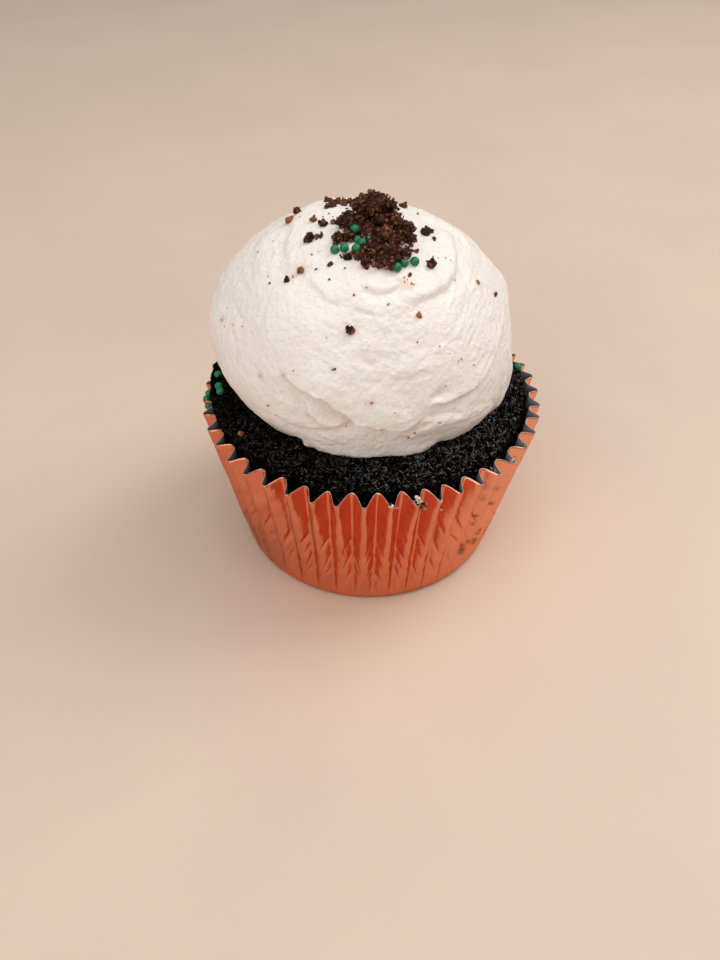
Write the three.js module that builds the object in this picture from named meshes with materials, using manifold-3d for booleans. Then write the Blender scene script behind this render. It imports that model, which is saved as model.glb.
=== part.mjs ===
// A frosted chocolate cupcake in a fluted foil baking case, with a heap of cake crumbs and a few round
// sugar sprinkles on top. Millimetres, +Z up, the front faces -Y. The origin is the centre of the base.
// Bearings are degrees anticlockwise from +X, seen from above. Elevations are degrees above level.

import * as THREE from "three";
import { mergeVertices } from "three/addons/utils/BufferGeometryUtils.js";
import Module from "manifold-3d";

const wasm = await Module();
wasm.setup();

const GAP = 0.3; // air between two pieces that touch
const WELD = 1e-3; // vertices nearer than this are one

// ---- Baking case: a foil cup pressed into flutes ----
const FLUTES = 45;
const RIM_RADIUS = 35; // outside of the ridges at the cut edge
const RIM_HEIGHT = 34;
const RIM_WAVE = 0.35; // the cut edge wanders up and down by this much
const RIM_WAVES = [{ share: 0.6, count: 4, phase: 1 }, { share: 0.4, count: 11, phase: 0 }];
const BASE_RADIUS = 26.6; // the flat disc that it stands on
const KNUCKLE_RADIUS = 28; // halfway round the edge of the base
const KNUCKLE_HEIGHT = 0.7;
const HEEL_RADIUS = 28.6; // where the side begins
const HEEL_HEIGHT = 2.2;
const FOOT_SHIFT = -0.5; // along X, from the centre of the rim to the centre of the base
const FOLD_DEPTH = 2.9; // from ridge to fold at the cut edge
const FOLD_DEPTH_SWING = 0.5; // deeper than that at the front, shallower at the back
const FLAT_SHARE = 0.24; // the flat of a ridge or of a fold, as a share of one flute's width
const FLUTE_START = 0.4; // degrees from +X to the first ridge
const FLUTE_DRIFT = 2.4; // degrees by which the flutes crowd and spread round the case
const DRIFT_WAVES = [
  { share: 1, count: 1, phase: -3 },
  { share: 0.25, count: 3, phase: 1.2 },
  { share: 0.15, count: 5, phase: 2.6 },
  { share: 0.1, count: 11, phase: -0.8 },
];
const WALL = 0.25;
const MITRE = 0.7; // a wall of unit thickness narrows each flat by this at both corners

// ---- Cake: fills the flutes, and stands higher on its left side ----
const CAKE_SIDE_TOP = 31.5; // up to here it fills the flutes
const CAKE_EDGE = 33.2; // above here it is a plain round edge
const CAKE_EDGE_RADIUS = 31.2;
const CAKE_LEFT_RISE = 4; // how much higher the edge is on the left
const CAKE_LEFT_SWELL = 1.5; // how far the risen edge leans out over the case
const RIM_CLEARANCE = 1.2; // it leans out only above the cut edge by this much
const CAKE_CROWN = 7; // from edge to the top of the dome, under the frosting
const CROWN_POWER = 2.8;
const CROWN_EASE = 0.72;
const CROWN_RINGS = [0.97, 0.925, 0.86, 0.77]; // shares of the edge radius, inwards
const CAKE_PITTING = 0.4; // depth of the dents in its torn-looking crumb
const CAKE_SEED = 11;

// ---- Frosting: one rounded mound that leans to the right ----
const MOUND_CENTRE = new THREE.Vector3(-1.4, -0.3, 47.5);
const MOUND_RADIUS = 29.3;
const MOUND_OVAL = 0.056; // longer by this share along MOUND_OVAL_BEARING, narrower across it
const MOUND_OVAL_BEARING = 24.5;
const MOUND_LEAN = 15.5; // degrees
const MOUND_CROWN = { height: 25.5, power: 1.87 };
const MOUND_SKIRT = { height: 21.6, power: 1.61 };
const MOUND_COLUMNS = 76;
const MOUND_ROWS = 24;
const MOUND_UNDER = [1, 0.9, 0]; // shares of the foot's radius for the rings that close its underside
const MOUND_LUMPS = 0.3; // slow unevenness of the spread surface, as waves over the direction
const MOUND_WAVES = [
  { share: 0.6, run: new THREE.Vector3(5.1, 4.3, 2), phase: 1 },
  { share: 0.5, run: new THREE.Vector3(-4.6, 5.2, 2.4), phase: 2.4 },
  { share: 0.5, run: new THREE.Vector3(3, -6, 9), phase: 0 },
];

// Strokes of the palette knife, each run from left to right as seen from outside, or anticlockwise round
// the top. Above the stroke the icing is lapped up by `lift`, fading over `reach`. Below it dips by `dip`.
const STROKES = [
  // folds and laps low on the front
  { path: [[-120, 17], [-108, 12], [-99, 7], [-93, 1], [-84, 2]], lift: 1.0, reach: 6, dip: 0.7 },
  { path: [[-112, 5], [-104, -1], [-96, -2], [-77, -3]], lift: 0.6, reach: 4, dip: 0.4 },
  { path: [[-64, 4], [-53, 4], [-41, 7], [-29, 13]], lift: 0.8, reach: 5, dip: 0.5 },
  { path: [[-74, -9], [-64, -5], [-52, -4]], lift: 0.5, reach: 4, dip: 0.5 },
  // the foot, pushed out over the cake at the front and on the right
  { path: [[-119, -17], [-98, -20], [-78, -21], [-56, -20]], lift: 0.9, reach: 3, dip: -0.9 },
  { path: [[-28, -18], [-5, -20], [18, -20], [45, -20]], lift: 1.3, reach: 4, dip: -1.3 },
  // the long strokes that climb the right side
  { path: [[-62, 10], [-45, 14], [-28, 22], [-12, 32]], lift: 0.5, reach: 4, dip: 0.4 },
  { path: [[-24, 5], [-8, 15], [8, 27], [20, 40]], lift: 0.6, reach: 5, dip: 0.4 },
  // the swirl round the heap
  { path: [[-104, 44], [-63, 45], [-35, 48], [-3, 54], [40, 57], [100, 56]], lift: 0.7, reach: 4, dip: 0.4 },
  { path: [[-75, 33], [-41, 34], [-10, 36], [15, 43], [50, 46]], lift: 0.6, reach: 4, dip: 0.3 },
  { path: [[150, 60], [-165, 58], [-145, 52], [-124, 45]], lift: 0.6, reach: 4, dip: 0.3 },
  { path: [[95, 38], [135, 42], [175, 38], [-150, 30]], lift: 0.6, reach: 5, dip: 0.3 },
  // laps on the left and the back
  { path: [[-170, -3], [-150, 6], [-132, 9]], lift: 0.6, reach: 5, dip: 0.3 },
  { path: [[30, 4], [55, 12], [80, 10], [100, 2]], lift: 0.8, reach: 6, dip: 0.5 },
  { path: [[110, 8], [135, 17], [160, 14], [180, 6]], lift: 0.8, reach: 6, dip: 0.5 },
];
const STROKE_END = 0.18; // share of a stroke over which each end fades

// ---- Crumb heap ----
const HEAP_CENTRE = new THREE.Vector3(-0.1, -6.3, 71.3);
const HEAP_REACH = new THREE.Vector3(6.9, 7.8, 6.1);
const HEAP_LUMPS = 0.07; // share of its radius
const HEAP_WAVES = [
  { share: 1, run: new THREE.Vector3(6, 5, 2), phase: 1 },
  { share: 1, run: new THREE.Vector3(5, -5, 6), phase: 0.4 },
];
const HEAP_DETAIL = 3;
const HEAP_CRUMBS = 56;
const HEAP_COVER = 1.35; // they lie from its top down to this depth, of the 2 that a full ball has
const HEAP_SCATTER = 0.4; // radians off the even spiral
const HEAP_SEED = 5;
const CRUMB_RADIUS = { least: 0.8, most: 1.5 };
const CRUMB_CORNERS = { least: 0.8, most: 1.15 }; // shares of its radius, for its pushed-about corners

// ---- Small toppings ----
const SPRINKLE_RADIUS = 0.8;
const SPRINKLE_SINK = 0.35; // share of its radius below what it lies on
const SPRINKLE_LEAN = 60; // elevation of the slope that those at the cake's edge lie against
// Bearing and elevation from the centre of the heap or of the mound.
const SPRINKLES_ON_HEAP = [[-116, 5], [-106, 13], [-117, 20], [-124, 33], [-97, 22]];
const SPRINKLES_ON_FROSTING = [[-117, 64], [-110, 62], [-68, 57], [-61, 59], [-53, 57]];
// Bearing, and distance from the axis.
const SPRINKLES_ON_CAKE = [[-177, 31.3], [-170, 31.2], [-166, 30.9], [11, 30.2]];
// Bearing and elevation from the centre of the mound, and size across.
const LOOSE_CRUMBS = [
  [161, 61, 1.7], [179, 61, 1.3], [-165, 70, 1.5], [-150, 71, 1.7], [-141, 63, 1.8],
  [-43, 54, 2.0], [-15, 65, 1.7], [-128, 51, 1.3], [-97, 35, 1.5], [36, 71, 1.5],
  [134, 67, 1.7], [145, 72, 1.5], [152, 77, 1.6], [-132, 46, 1.1],
];
const LOOSE_SEED = 100;

// ---- Colours ----
const FOIL = { color: 0xc9603f, roughness: 0.35, metalness: 0.8 };
const DARK_CAKE = { color: 0x120d0c, roughness: 0.6, metalness: 0 };
const BUTTERCREAM = { color: 0xefe6da, roughness: 0.55, metalness: 0 };
const CRUMB = { color: 0x3c231c, roughness: 0.8, metalness: 0 };

const radians = THREE.MathUtils.degToRad;
const FULL_TURN = 2 * Math.PI;
const GOLDEN_TURN = Math.PI * (3 - Math.sqrt(5)); // steps round a spiral without lining up
const HALVINGS = 30; // steps of a search by halves

// ---- Shared helpers ----

// A seeded stream of numbers from 0 to 1, the same on every run: a linear congruential generator.
function seededRandom(seed) {
  const range = 2 ** 32;
  const factor = 1664525;
  const step = 1013904223;
  let state = seed;
  return () => {
    state = (state * factor + step) % range;
    return state / range;
  };
}

// The sum of some waves round a turn.
function wavesRound(turn, waves) {
  return waves.reduce((sum, { share, count, phase }) => sum + share * Math.sin(count * turn + phase), 0);
}

// The sum of some waves that run over a ball's surface.
function wavesOver(direction, waves) {
  return waves.reduce((sum, { share, run, phase }) => sum + share * Math.sin(run.dot(direction) + phase), 0);
}

function toSolid(geometry) {
  const bare = geometry.clone();
  bare.deleteAttribute("normal");
  bare.deleteAttribute("uv");
  const welded = mergeVertices(bare, WELD);
  const corners = welded.index.array;
  const kept = [];
  for (let i = 0; i < corners.length; i += 3) {
    const [a, b, c] = corners.slice(i, i + 3);
    if (a !== b && b !== c && c !== a) kept.push(a, b, c);
  }
  const vertProperties = welded.attributes.position.array;
  const triVerts = new Uint32Array(kept);
  return new wasm.Manifold(new wasm.Mesh({ numProp: 3, vertProperties, triVerts }));
}

function toMesh(name, solid, finish) {
  const made = solid.getMesh();
  const geometry = new THREE.BufferGeometry();
  geometry.setAttribute("position", new THREE.BufferAttribute(made.vertProperties, 3));
  geometry.setIndex(new THREE.BufferAttribute(made.triVerts, 1));
  geometry.computeVertexNormals();
  const mesh = new THREE.Mesh(geometry, new THREE.MeshStandardMaterial(finish));
  mesh.name = name;
  return mesh;
}

// The largest of the bodies that a cut leaves.
function mainBody(solid) {
  const bodies = solid.decompose();
  return bodies.reduce((best, body) => (body.volume() > best.volume() ? body : best));
}

function crosses(one, other) {
  return one.intersect(other).volume() > 0;
}

// The unit vector towards a bearing and an elevation.
function towards(bearing, elevation) {
  const level = Math.cos(radians(elevation));
  const turn = radians(bearing);
  return new THREE.Vector3(level * Math.cos(turn), level * Math.sin(turn), Math.sin(radians(elevation)));
}

// The faces between rings, each folded along the diagonal that stands further out from the axis.
function foldedFaces(position, rings, segments) {
  const x = (i) => position.getX(i);
  const y = (i) => position.getY(i);
  const reach = (i, j) => Math.hypot(x(i) + x(j), y(i) + y(j));
  const faces = [];
  for (let segment = 0; segment < segments; segment += 1) {
    for (let ring = 0; ring < rings - 1; ring += 1) {
      const a = segment * rings + ring;
      const b = a + rings;
      const c = b + 1;
      const d = a + 1;
      if (reach(a, c) > reach(b, d)) faces.push(a, b, c, c, d, a);
      else faces.push(a, b, d, c, d, b);
    }
  }
  return faces;
}

// A lathed body. Each ring is a function from segment to point; the first and the last lie on the axis.
function turnedBody(rings, segments) {
  const profile = rings.map((ring) => {
    const start = ring(0);
    return new THREE.Vector2(Math.hypot(start.x, start.y), start.z);
  });
  const geometry = new THREE.LatheGeometry(profile, segments);
  const position = geometry.attributes.position;
  for (let i = 0; i < position.count; i += 1) {
    const segment = Math.floor(i / rings.length) % segments;
    const spot = rings[i % rings.length](segment);
    position.setXYZ(i, spot.x, spot.y, spot.z);
  }
  geometry.setIndex(foldedFaces(position, rings.length, segments));
  return toSolid(geometry);
}

// ---- Flutes, shared by the case and the cake inside it ----

const CORNERS = 4; // two on the ridge of a flute and two in its fold
const SEGMENTS = FLUTES * CORNERS;

function fluteShare(height) {
  return Math.max(0, (height - KNUCKLE_HEIGHT) / (RIM_HEIGHT - KNUCKLE_HEIGHT));
}

function foldDepth(turn) {
  return FOLD_DEPTH - FOLD_DEPTH_SWING * Math.sin(turn);
}

function sideRadius(height) {
  const share = (height - HEEL_HEIGHT) / (RIM_HEIGHT - HEEL_HEIGHT);
  return HEEL_RADIUS + (RIM_RADIUS - HEEL_RADIUS) * share;
}

function rimHeight(turn) {
  return RIM_HEIGHT + RIM_WAVE * wavesRound(turn, RIM_WAVES);
}

// Where one corner of one flute stands, on a surface that lies `inset` inside the outer face.
function flutedPoint(segment, radius, height, inset) {
  const flute = Math.floor(segment / CORNERS);
  const inFold = segment % CORNERS > 1;
  const side = segment % 2 === 0 ? -1 : 1;
  const share = fluteShare(height);
  const narrowing = (share * MITRE * inset * FLUTES) / (FULL_TURN * radius);
  const halfFlat = FLAT_SHARE / 2 + (inFold ? narrowing : -narrowing);
  const even = ((flute + (inFold ? 0.5 : 0) + side * halfFlat) / FLUTES) * FULL_TURN;
  const turn = even + radians(FLUTE_START + FLUTE_DRIFT * wavesRound(even, DRIFT_WAVES));
  const reach = radius - inset - (inFold ? foldDepth(turn) * share : 0);
  const shift = FOOT_SHIFT * (1 - height / RIM_HEIGHT);
  return new THREE.Vector3(reach * Math.cos(turn) + shift, reach * Math.sin(turn), height);
}

function bakingCase() {
  const axis = (height) => () => new THREE.Vector3(0, 0, height);
  const flat = (radius, height, inset) => (segment) => flutedPoint(segment, radius, height, inset);
  const side = (height, inset) => flat(sideRadius(height), height, inset);
  const rim = (inset) => (segment) => {
    const spot = flutedPoint(segment, RIM_RADIUS, RIM_HEIGHT, inset);
    return spot.setZ(rimHeight(Math.atan2(spot.y, spot.x)));
  };
  return turnedBody(
    [
      axis(0),
      flat(BASE_RADIUS, 0, 0),
      flat(KNUCKLE_RADIUS, KNUCKLE_HEIGHT, 0),
      side(HEEL_HEIGHT, 0),
      rim(0),
      rim(WALL),
      side(HEEL_HEIGHT, WALL),
      flat(KNUCKLE_RADIUS, KNUCKLE_HEIGHT + WALL, WALL),
      flat(BASE_RADIUS, WALL, 0),
      axis(WALL),
    ],
    SEGMENTS,
  );
}

// ---- Cake ----

function leftRise(turn) {
  return CAKE_LEFT_RISE * Math.pow((1 - Math.cos(turn)) / 2, 2);
}

function cakeEdgeHeight(turn) {
  return CAKE_EDGE + leftRise(turn);
}

function cakeEdgeRadius(turn) {
  const front = FOLD_DEPTH_SWING * Math.sin(turn);
  return CAKE_EDGE_RADIUS + front + (CAKE_LEFT_SWELL * leftRise(turn)) / CAKE_LEFT_RISE;
}

// Height of the cake's dome; inside the innermost ring it is a plain cone to the peak.
function cakeTop(x, y) {
  const turn = Math.atan2(y, x);
  const share = Math.hypot(x, y) / cakeEdgeRadius(turn);
  const innermost = CROWN_RINGS[CROWN_RINGS.length - 1];
  const ringShare = Math.min(1, Math.max(share, innermost));
  const crown = CAKE_CROWN * Math.pow(1 - Math.pow(ringShare, CROWN_POWER), CROWN_EASE);
  const ringHeight = cakeEdgeHeight(turn) + crown;
  const peak = CAKE_EDGE + CAKE_LEFT_RISE / 4 + CAKE_CROWN;
  return share < innermost ? peak + ((ringHeight - peak) * share) / innermost : ringHeight;
}

function cakeBody() {
  const floor = WALL + GAP;
  const random = seededRandom(CAKE_SEED);
  const pits = Array.from({ length: SEGMENTS * CROWN_RINGS.length }, () => CAKE_PITTING * random());
  const turnOf = (segment, height) => {
    const spot = flutedPoint(segment, sideRadius(height), height, floor);
    return Math.atan2(spot.y, spot.x);
  };
  const axis = (height) => () => new THREE.Vector3(0, 0, height);
  const side = (height) => (segment) => flutedPoint(segment, sideRadius(height), height, floor);
  const round = (turn, radius, height) =>
    new THREE.Vector3(radius * Math.cos(turn), radius * Math.sin(turn), height);
  const neck = (segment) => {
    const turn = turnOf(segment, CAKE_SIDE_TOP);
    const height = Math.min(cakeEdgeHeight(turn) - GAP, RIM_HEIGHT + RIM_CLEARANCE);
    return round(turn, RIM_RADIUS - foldDepth(turn) - floor, height);
  };
  const edge = (segment) => {
    const turn = turnOf(segment, CAKE_SIDE_TOP);
    return round(turn, cakeEdgeRadius(turn), cakeEdgeHeight(turn));
  };
  const crown = CROWN_RINGS.map((share, ring) => (segment) => {
    const turn = turnOf(segment, CAKE_SIDE_TOP);
    const radius = share * cakeEdgeRadius(turn);
    const top = cakeTop(radius * Math.cos(turn), radius * Math.sin(turn));
    return round(turn, radius, top - pits[ring * SEGMENTS + segment]);
  });
  return turnedBody(
    [
      axis(floor),
      (segment) => flutedPoint(segment, BASE_RADIUS, floor, 0),
      side(HEEL_HEIGHT + floor),
      side(CAKE_SIDE_TOP),
      neck,
      edge,
      ...crown,
      axis(cakeTop(0, 0)),
    ],
    SEGMENTS,
  );
}

// ---- Frosting ----

const LEAN_AXIS = new THREE.Vector3(0, 1, 0);

// A point of the plain mound: `polar` runs from 0 at its top to pi at its foot.
function moundPoint(longitude, polar) {
  const { height, power } = Math.cos(polar) >= 0 ? MOUND_CROWN : MOUND_SKIRT;
  const level = Math.sign(Math.cos(polar)) * Math.pow(Math.abs(Math.cos(polar)), 2 / power);
  const oval = 1 + MOUND_OVAL * Math.cos(2 * (longitude - radians(MOUND_OVAL_BEARING)));
  const radius = MOUND_RADIUS * oval * Math.sin(polar);
  return new THREE.Vector3(radius * Math.cos(longitude), radius * Math.sin(longitude), height * level)
    .applyAxisAngle(LEAN_AXIS, radians(MOUND_LEAN))
    .add(MOUND_CENTRE);
}

// How far one stroke lifts or dips the icing in a given direction from the mound's centre.
function strokeRelief({ path, lift, reach, dip }, direction) {
  const corners = path.map(([bearing, elevation]) => towards(bearing, elevation));
  const last = corners.length - 1;
  let nearest = Infinity;
  let relief = 0;
  for (let i = 0; i < last; i += 1) {
    const run = corners[i + 1].clone().sub(corners[i]);
    const off = direction.clone().sub(corners[i]);
    const along = THREE.MathUtils.clamp(off.dot(run) / run.lengthSq(), 0, 1);
    off.addScaledVector(run, -along);
    const distance = off.length() * MOUND_RADIUS;
    if (distance < nearest) {
      nearest = distance;
      const share = (i + along) / last;
      const ends = Math.min(1, share / STROKE_END, (1 - share) / STROKE_END);
      const above = run.cross(off).dot(direction) >= 0;
      relief = ends * (above ? lift * Math.exp(-distance / reach) : -dip * Math.exp((-2 * distance) / reach));
    }
  }
  return relief;
}

function frostingRelief(direction) {
  const lumps = MOUND_LUMPS * wavesOver(direction, MOUND_WAVES);
  return STROKES.reduce((sum, stroke) => sum + strokeRelief(stroke, direction), lumps);
}

// The spread surface, `outset` outside its true face, and never inside the cake.
function frostingPoint(longitude, polar, outset) {
  const plain = moundPoint(longitude, polar);
  const outwards = plain.clone().sub(MOUND_CENTRE).normalize();
  const spot = plain.addScaledVector(outwards, frostingRelief(outwards) + outset);
  spot.z = Math.max(spot.z, cakeTop(spot.x, spot.y) + GAP);
  return spot;
}

// The last angle between `from` and `to` at which a test still holds.
function lastWhere(from, to, holds) {
  let inside = from;
  let outside = to;
  for (let i = 0; i < HALVINGS; i += 1) {
    const middle = (inside + outside) / 2;
    if (holds(middle)) inside = middle;
    else outside = middle;
  }
  return inside;
}

// The polar angle at which the mound comes down on the cake.
function contactPolar(longitude) {
  return lastWhere(radians(70), Math.PI, (polar) => {
    const spot = moundPoint(longitude, polar);
    return spot.z > cakeTop(spot.x, spot.y) + GAP;
  });
}

function frostingBody(outset) {
  const geometry = new THREE.SphereGeometry(1, MOUND_COLUMNS, MOUND_ROWS);
  const position = geometry.attributes.position;
  const contacts = Array.from({ length: MOUND_COLUMNS }, (_, column) =>
    contactPolar((column / MOUND_COLUMNS) * FULL_TURN),
  );
  const footRow = MOUND_ROWS - MOUND_UNDER.length + 1;
  for (let i = 0; i < position.count; i += 1) {
    const row = Math.floor(i / (MOUND_COLUMNS + 1));
    const column = (i % (MOUND_COLUMNS + 1)) % MOUND_COLUMNS;
    const longitude = (column / MOUND_COLUMNS) * FULL_TURN;
    const polar = contacts[column] * Math.min(1, row / footRow);
    const spot = row === 0 ? frostingPoint(0, 0, outset) : frostingPoint(longitude, polar, outset);
    if (row >= footRow) {
      const share = MOUND_UNDER[row - footRow];
      spot.x *= share;
      spot.y *= share;
      spot.z = cakeTop(spot.x, spot.y) + GAP;
    }
    position.setXYZ(i, spot.x, spot.y, spot.z);
  }
  return toSolid(geometry);
}

// Where a line from the mound's centre leaves the frosting.
function onFrosting(bearing, elevation) {
  const direction = towards(bearing, elevation);
  const level = direction.clone().applyAxisAngle(LEAN_AXIS, -radians(MOUND_LEAN));
  const longitude = Math.atan2(level.y, level.x);
  const polar = lastWhere(0, Math.PI, (angle) => {
    const spot = moundPoint(longitude, angle).sub(MOUND_CENTRE).normalize();
    return spot.applyAxisAngle(LEAN_AXIS, -radians(MOUND_LEAN)).z > level.z;
  });
  return frostingPoint(longitude, polar, 0);
}

// ---- Crumbs and sprinkles ----

function between({ least, most }, share) {
  return least + (most - least) * share;
}

// One crumb: a lump with few sides, each corner pushed in or out.
function crumb(centre, radius, random) {
  const geometry = new THREE.IcosahedronGeometry(1, 0);
  const corners = mergeVertices(geometry.deleteAttribute("normal").deleteAttribute("uv"), WELD);
  const position = corners.attributes.position;
  const turn = new THREE.Euler(FULL_TURN * random(), FULL_TURN * random(), FULL_TURN * random());
  for (let i = 0; i < position.count; i += 1) {
    const spot = new THREE.Vector3().fromBufferAttribute(position, i).applyEuler(turn);
    spot.multiplyScalar(radius * between(CRUMB_CORNERS, random())).add(centre);
    position.setXYZ(i, spot.x, spot.y, spot.z);
  }
  return toSolid(corners);
}

function sprinkle(centre, growth) {
  const geometry = new THREE.OctahedronGeometry(SPRINKLE_RADIUS + growth, 1);
  return toSolid(geometry.translate(centre.x, centre.y, centre.z));
}

// Adds the pieces that are clear of the neighbours by the gap; `pieces` holds pairs of true and grown.
function fuseClear(body, pieces, neighbours) {
  let whole = body;
  for (const { piece, grown } of pieces) {
    if (!neighbours.some((neighbour) => crosses(grown, neighbour))) whole = whole.add(piece);
  }
  return mainBody(whole);
}

function sprinklePair(surfacePoint, outwards) {
  const centre = surfacePoint.clone().addScaledVector(outwards, SPRINKLE_RADIUS * (1 - SPRINKLE_SINK));
  return { piece: sprinkle(centre, 0), grown: sprinkle(centre, GAP) };
}

function crumbPair(surfacePoint, across, seed) {
  const radius = across / 2;
  const piece = crumb(surfacePoint, radius, seededRandom(seed));
  const grown = crumb(surfacePoint, radius + GAP, seededRandom(seed));
  return { piece, grown };
}

function onHeap(direction) {
  return direction.clone().multiply(HEAP_REACH).add(HEAP_CENTRE);
}

function heapCore() {
  const geometry = new THREE.IcosahedronGeometry(1, HEAP_DETAIL);
  const position = geometry.attributes.position;
  for (let i = 0; i < position.count; i += 1) {
    const direction = new THREE.Vector3().fromBufferAttribute(position, i);
    const lumps = HEAP_LUMPS * wavesOver(direction, HEAP_WAVES);
    const spot = onHeap(direction.multiplyScalar(1 + lumps));
    position.setXYZ(i, spot.x, spot.y, spot.z);
  }
  return toSolid(geometry);
}

// Crumbs all over the upper side of the heap, on a spiral with seeded places and sizes.
function heapCrumbs() {
  const random = seededRandom(HEAP_SEED);
  return Array.from({ length: HEAP_CRUMBS }, (_, i) => {
    const z = 1 - (HEAP_COVER * (i + random())) / HEAP_CRUMBS;
    const turn = GOLDEN_TURN * i + HEAP_SCATTER * random();
    const level = Math.sqrt(1 - z * z);
    const direction = new THREE.Vector3(level * Math.cos(turn), level * Math.sin(turn), z);
    return crumb(onHeap(direction), between(CRUMB_RADIUS, random()), random);
  });
}

function crumbHeap(frostingGrown) {
  const sprinkles = SPRINKLES_ON_HEAP.map(([bearing, elevation]) => {
    const direction = towards(bearing, elevation);
    return sprinklePair(onHeap(direction), direction).piece;
  });
  const whole = [...heapCrumbs(), ...sprinkles].reduce((sum, piece) => sum.add(piece), heapCore());
  return mainBody(whole.subtract(frostingGrown));
}

function frostingToppings() {
  const sprinkles = SPRINKLES_ON_FROSTING.map(([bearing, elevation]) =>
    sprinklePair(onFrosting(bearing, elevation), towards(bearing, elevation)),
  );
  const crumbs = LOOSE_CRUMBS.map(([bearing, elevation, across], i) =>
    crumbPair(onFrosting(bearing, elevation), across, LOOSE_SEED + i),
  );
  return [...sprinkles, ...crumbs];
}

function cakeToppings() {
  return SPRINKLES_ON_CAKE.map(([bearing, radius]) => {
    const spot = towards(bearing, 0).multiplyScalar(radius);
    return sprinklePair(spot.setZ(cakeTop(spot.x, spot.y)), towards(bearing, SPRINKLE_LEAN));
  });
}

// ---- The cupcake ----

const foilCase = bakingCase();
const bareCake = cakeBody();
const bareFrosting = frostingBody(0);
const heap = crumbHeap(frostingBody(GAP));
const cake = fuseClear(bareCake, cakeToppings(), [foilCase, bareFrosting]);
const frosting = fuseClear(bareFrosting, frostingToppings(), [heap, cake]);

const cupcake = new THREE.Group();
cupcake.add(
  toMesh("baking_case", foilCase, FOIL),
  toMesh("cake", cake, DARK_CAKE),
  toMesh("frosting", frosting, BUTTERCREAM),
  toMesh("crumb_heap", heap, CRUMB),
);

export default cupcake;
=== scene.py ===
# A frosted chocolate cupcake in a fluted foil cup: the finish of every surface, round the fixed model.
# Shapes are worked out in millimetres, +Z up with the front facing -Y, and put in metres as each is finished.
# Bearings are degrees anticlockwise from +X, seen from above. Elevations are degrees above level.

import math
import random

import bmesh
import bpy
import numpy as np
from mathutils import Euler, Matrix, Vector
from mathutils.bvhtree import BVHTree


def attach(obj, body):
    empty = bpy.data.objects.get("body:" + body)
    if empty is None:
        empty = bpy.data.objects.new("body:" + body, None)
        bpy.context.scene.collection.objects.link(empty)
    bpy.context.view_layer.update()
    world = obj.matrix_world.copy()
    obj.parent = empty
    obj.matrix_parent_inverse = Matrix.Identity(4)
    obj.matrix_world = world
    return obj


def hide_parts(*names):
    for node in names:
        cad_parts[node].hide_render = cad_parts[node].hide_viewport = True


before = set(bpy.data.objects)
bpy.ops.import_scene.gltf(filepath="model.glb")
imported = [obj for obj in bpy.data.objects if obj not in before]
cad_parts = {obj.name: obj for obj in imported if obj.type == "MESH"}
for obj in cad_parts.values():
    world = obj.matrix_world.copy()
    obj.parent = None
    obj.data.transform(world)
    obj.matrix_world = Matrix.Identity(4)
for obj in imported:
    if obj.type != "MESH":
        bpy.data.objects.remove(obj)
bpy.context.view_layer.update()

MM = 0.001
FULL_TURN = 2 * math.pi


# ---- Curves and noise ----


def waves_round(turn, waves):
    return sum(share * np.sin(count * turn + phase) for share, count, phase in waves)


def smooth_step(low, high, value):
    share = np.clip((value - low) / (high - low), 0, 1)
    return share * share * (3 - 2 * share)


NOISE_PICK = np.random.default_rng(7)
NOISE_ORDER = NOISE_PICK.permutation(256)
NOISE_SLOPES = NOISE_PICK.normal(size=(256, 3))
NOISE_SLOPES /= np.linalg.norm(NOISE_SLOPES, axis=1)[:, None]
NOISE_CORNERS = [(i, j, k) for i in (0, 1) for j in (0, 1) for k in (0, 1)]


def noise_over(points, size, shift=0.0):
    """Smooth noise from about -1 to 1 at each point, with lumps of about `size`."""
    places = np.asarray(points) / size + np.array((1, 2, 3)) * shift
    cell = np.floor(places).astype(int)
    inside = places - cell
    eased = inside**3 * (inside * (6 * inside - 15) + 10)
    total = np.zeros(len(places))
    for corner in NOISE_CORNERS:
        x, y, z = ((cell + corner) & 255).T
        slope = NOISE_SLOPES[NOISE_ORDER[(NOISE_ORDER[(NOISE_ORDER[x] + y) & 255] + z) & 255]]
        weight = np.prod(np.where(corner, eased, 1 - eased), axis=1)
        total += weight * ((inside - corner) * slope).sum(axis=1)
    return 1.7 * total


def ridges_over(points, size, shift=0.0):
    """Narrow crests along the lines where smooth noise is nought, from 0 to 1."""
    return (1 - np.minimum(1, 2.2 * np.abs(noise_over(points, size, shift)))) ** 2


def drawn_out(points, along, longer):
    """Points squeezed along a direction, so that noise over them is drawn out that way."""
    along = np.array(along) / np.linalg.norm(along)
    return points - np.outer(points @ along * (1 - 1 / longer), along)


def towards(bearing, elevation):
    level = math.cos(math.radians(elevation))
    turn = math.radians(bearing)
    return Vector((level * math.cos(turn), level * math.sin(turn), math.sin(math.radians(elevation))))


# ---- Mesh helpers ----


def points_of(mesh):
    flat = np.empty(len(mesh.vertices) * 3)
    mesh.vertices.foreach_get("co", flat)
    return flat.reshape(-1, 3)


def set_points(mesh, points):
    mesh.vertices.foreach_set("co", points.ravel())
    mesh.update()


def normals_of(mesh):
    flat = np.empty(len(mesh.vertices) * 3)
    mesh.vertices.foreach_get("normal", flat)
    return flat.reshape(-1, 3)


def mesh_from(bm, name):
    """A smooth-shaded mesh with its seams and poles closed and its faces turned outwards."""
    bmesh.ops.remove_doubles(bm, verts=bm.verts, dist=5e-4)
    bmesh.ops.recalc_face_normals(bm, faces=bm.faces)
    for face in bm.faces:
        face.smooth = True
    mesh = bpy.data.meshes.new(name)
    bm.to_mesh(mesh)
    bm.free()
    return mesh


def corner_order(face):
    """A number that differs from face to face, to sort them by."""
    corners = [corner.index for corner in face.verts]
    return min(corners) * 1e6 + max(corners)


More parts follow.
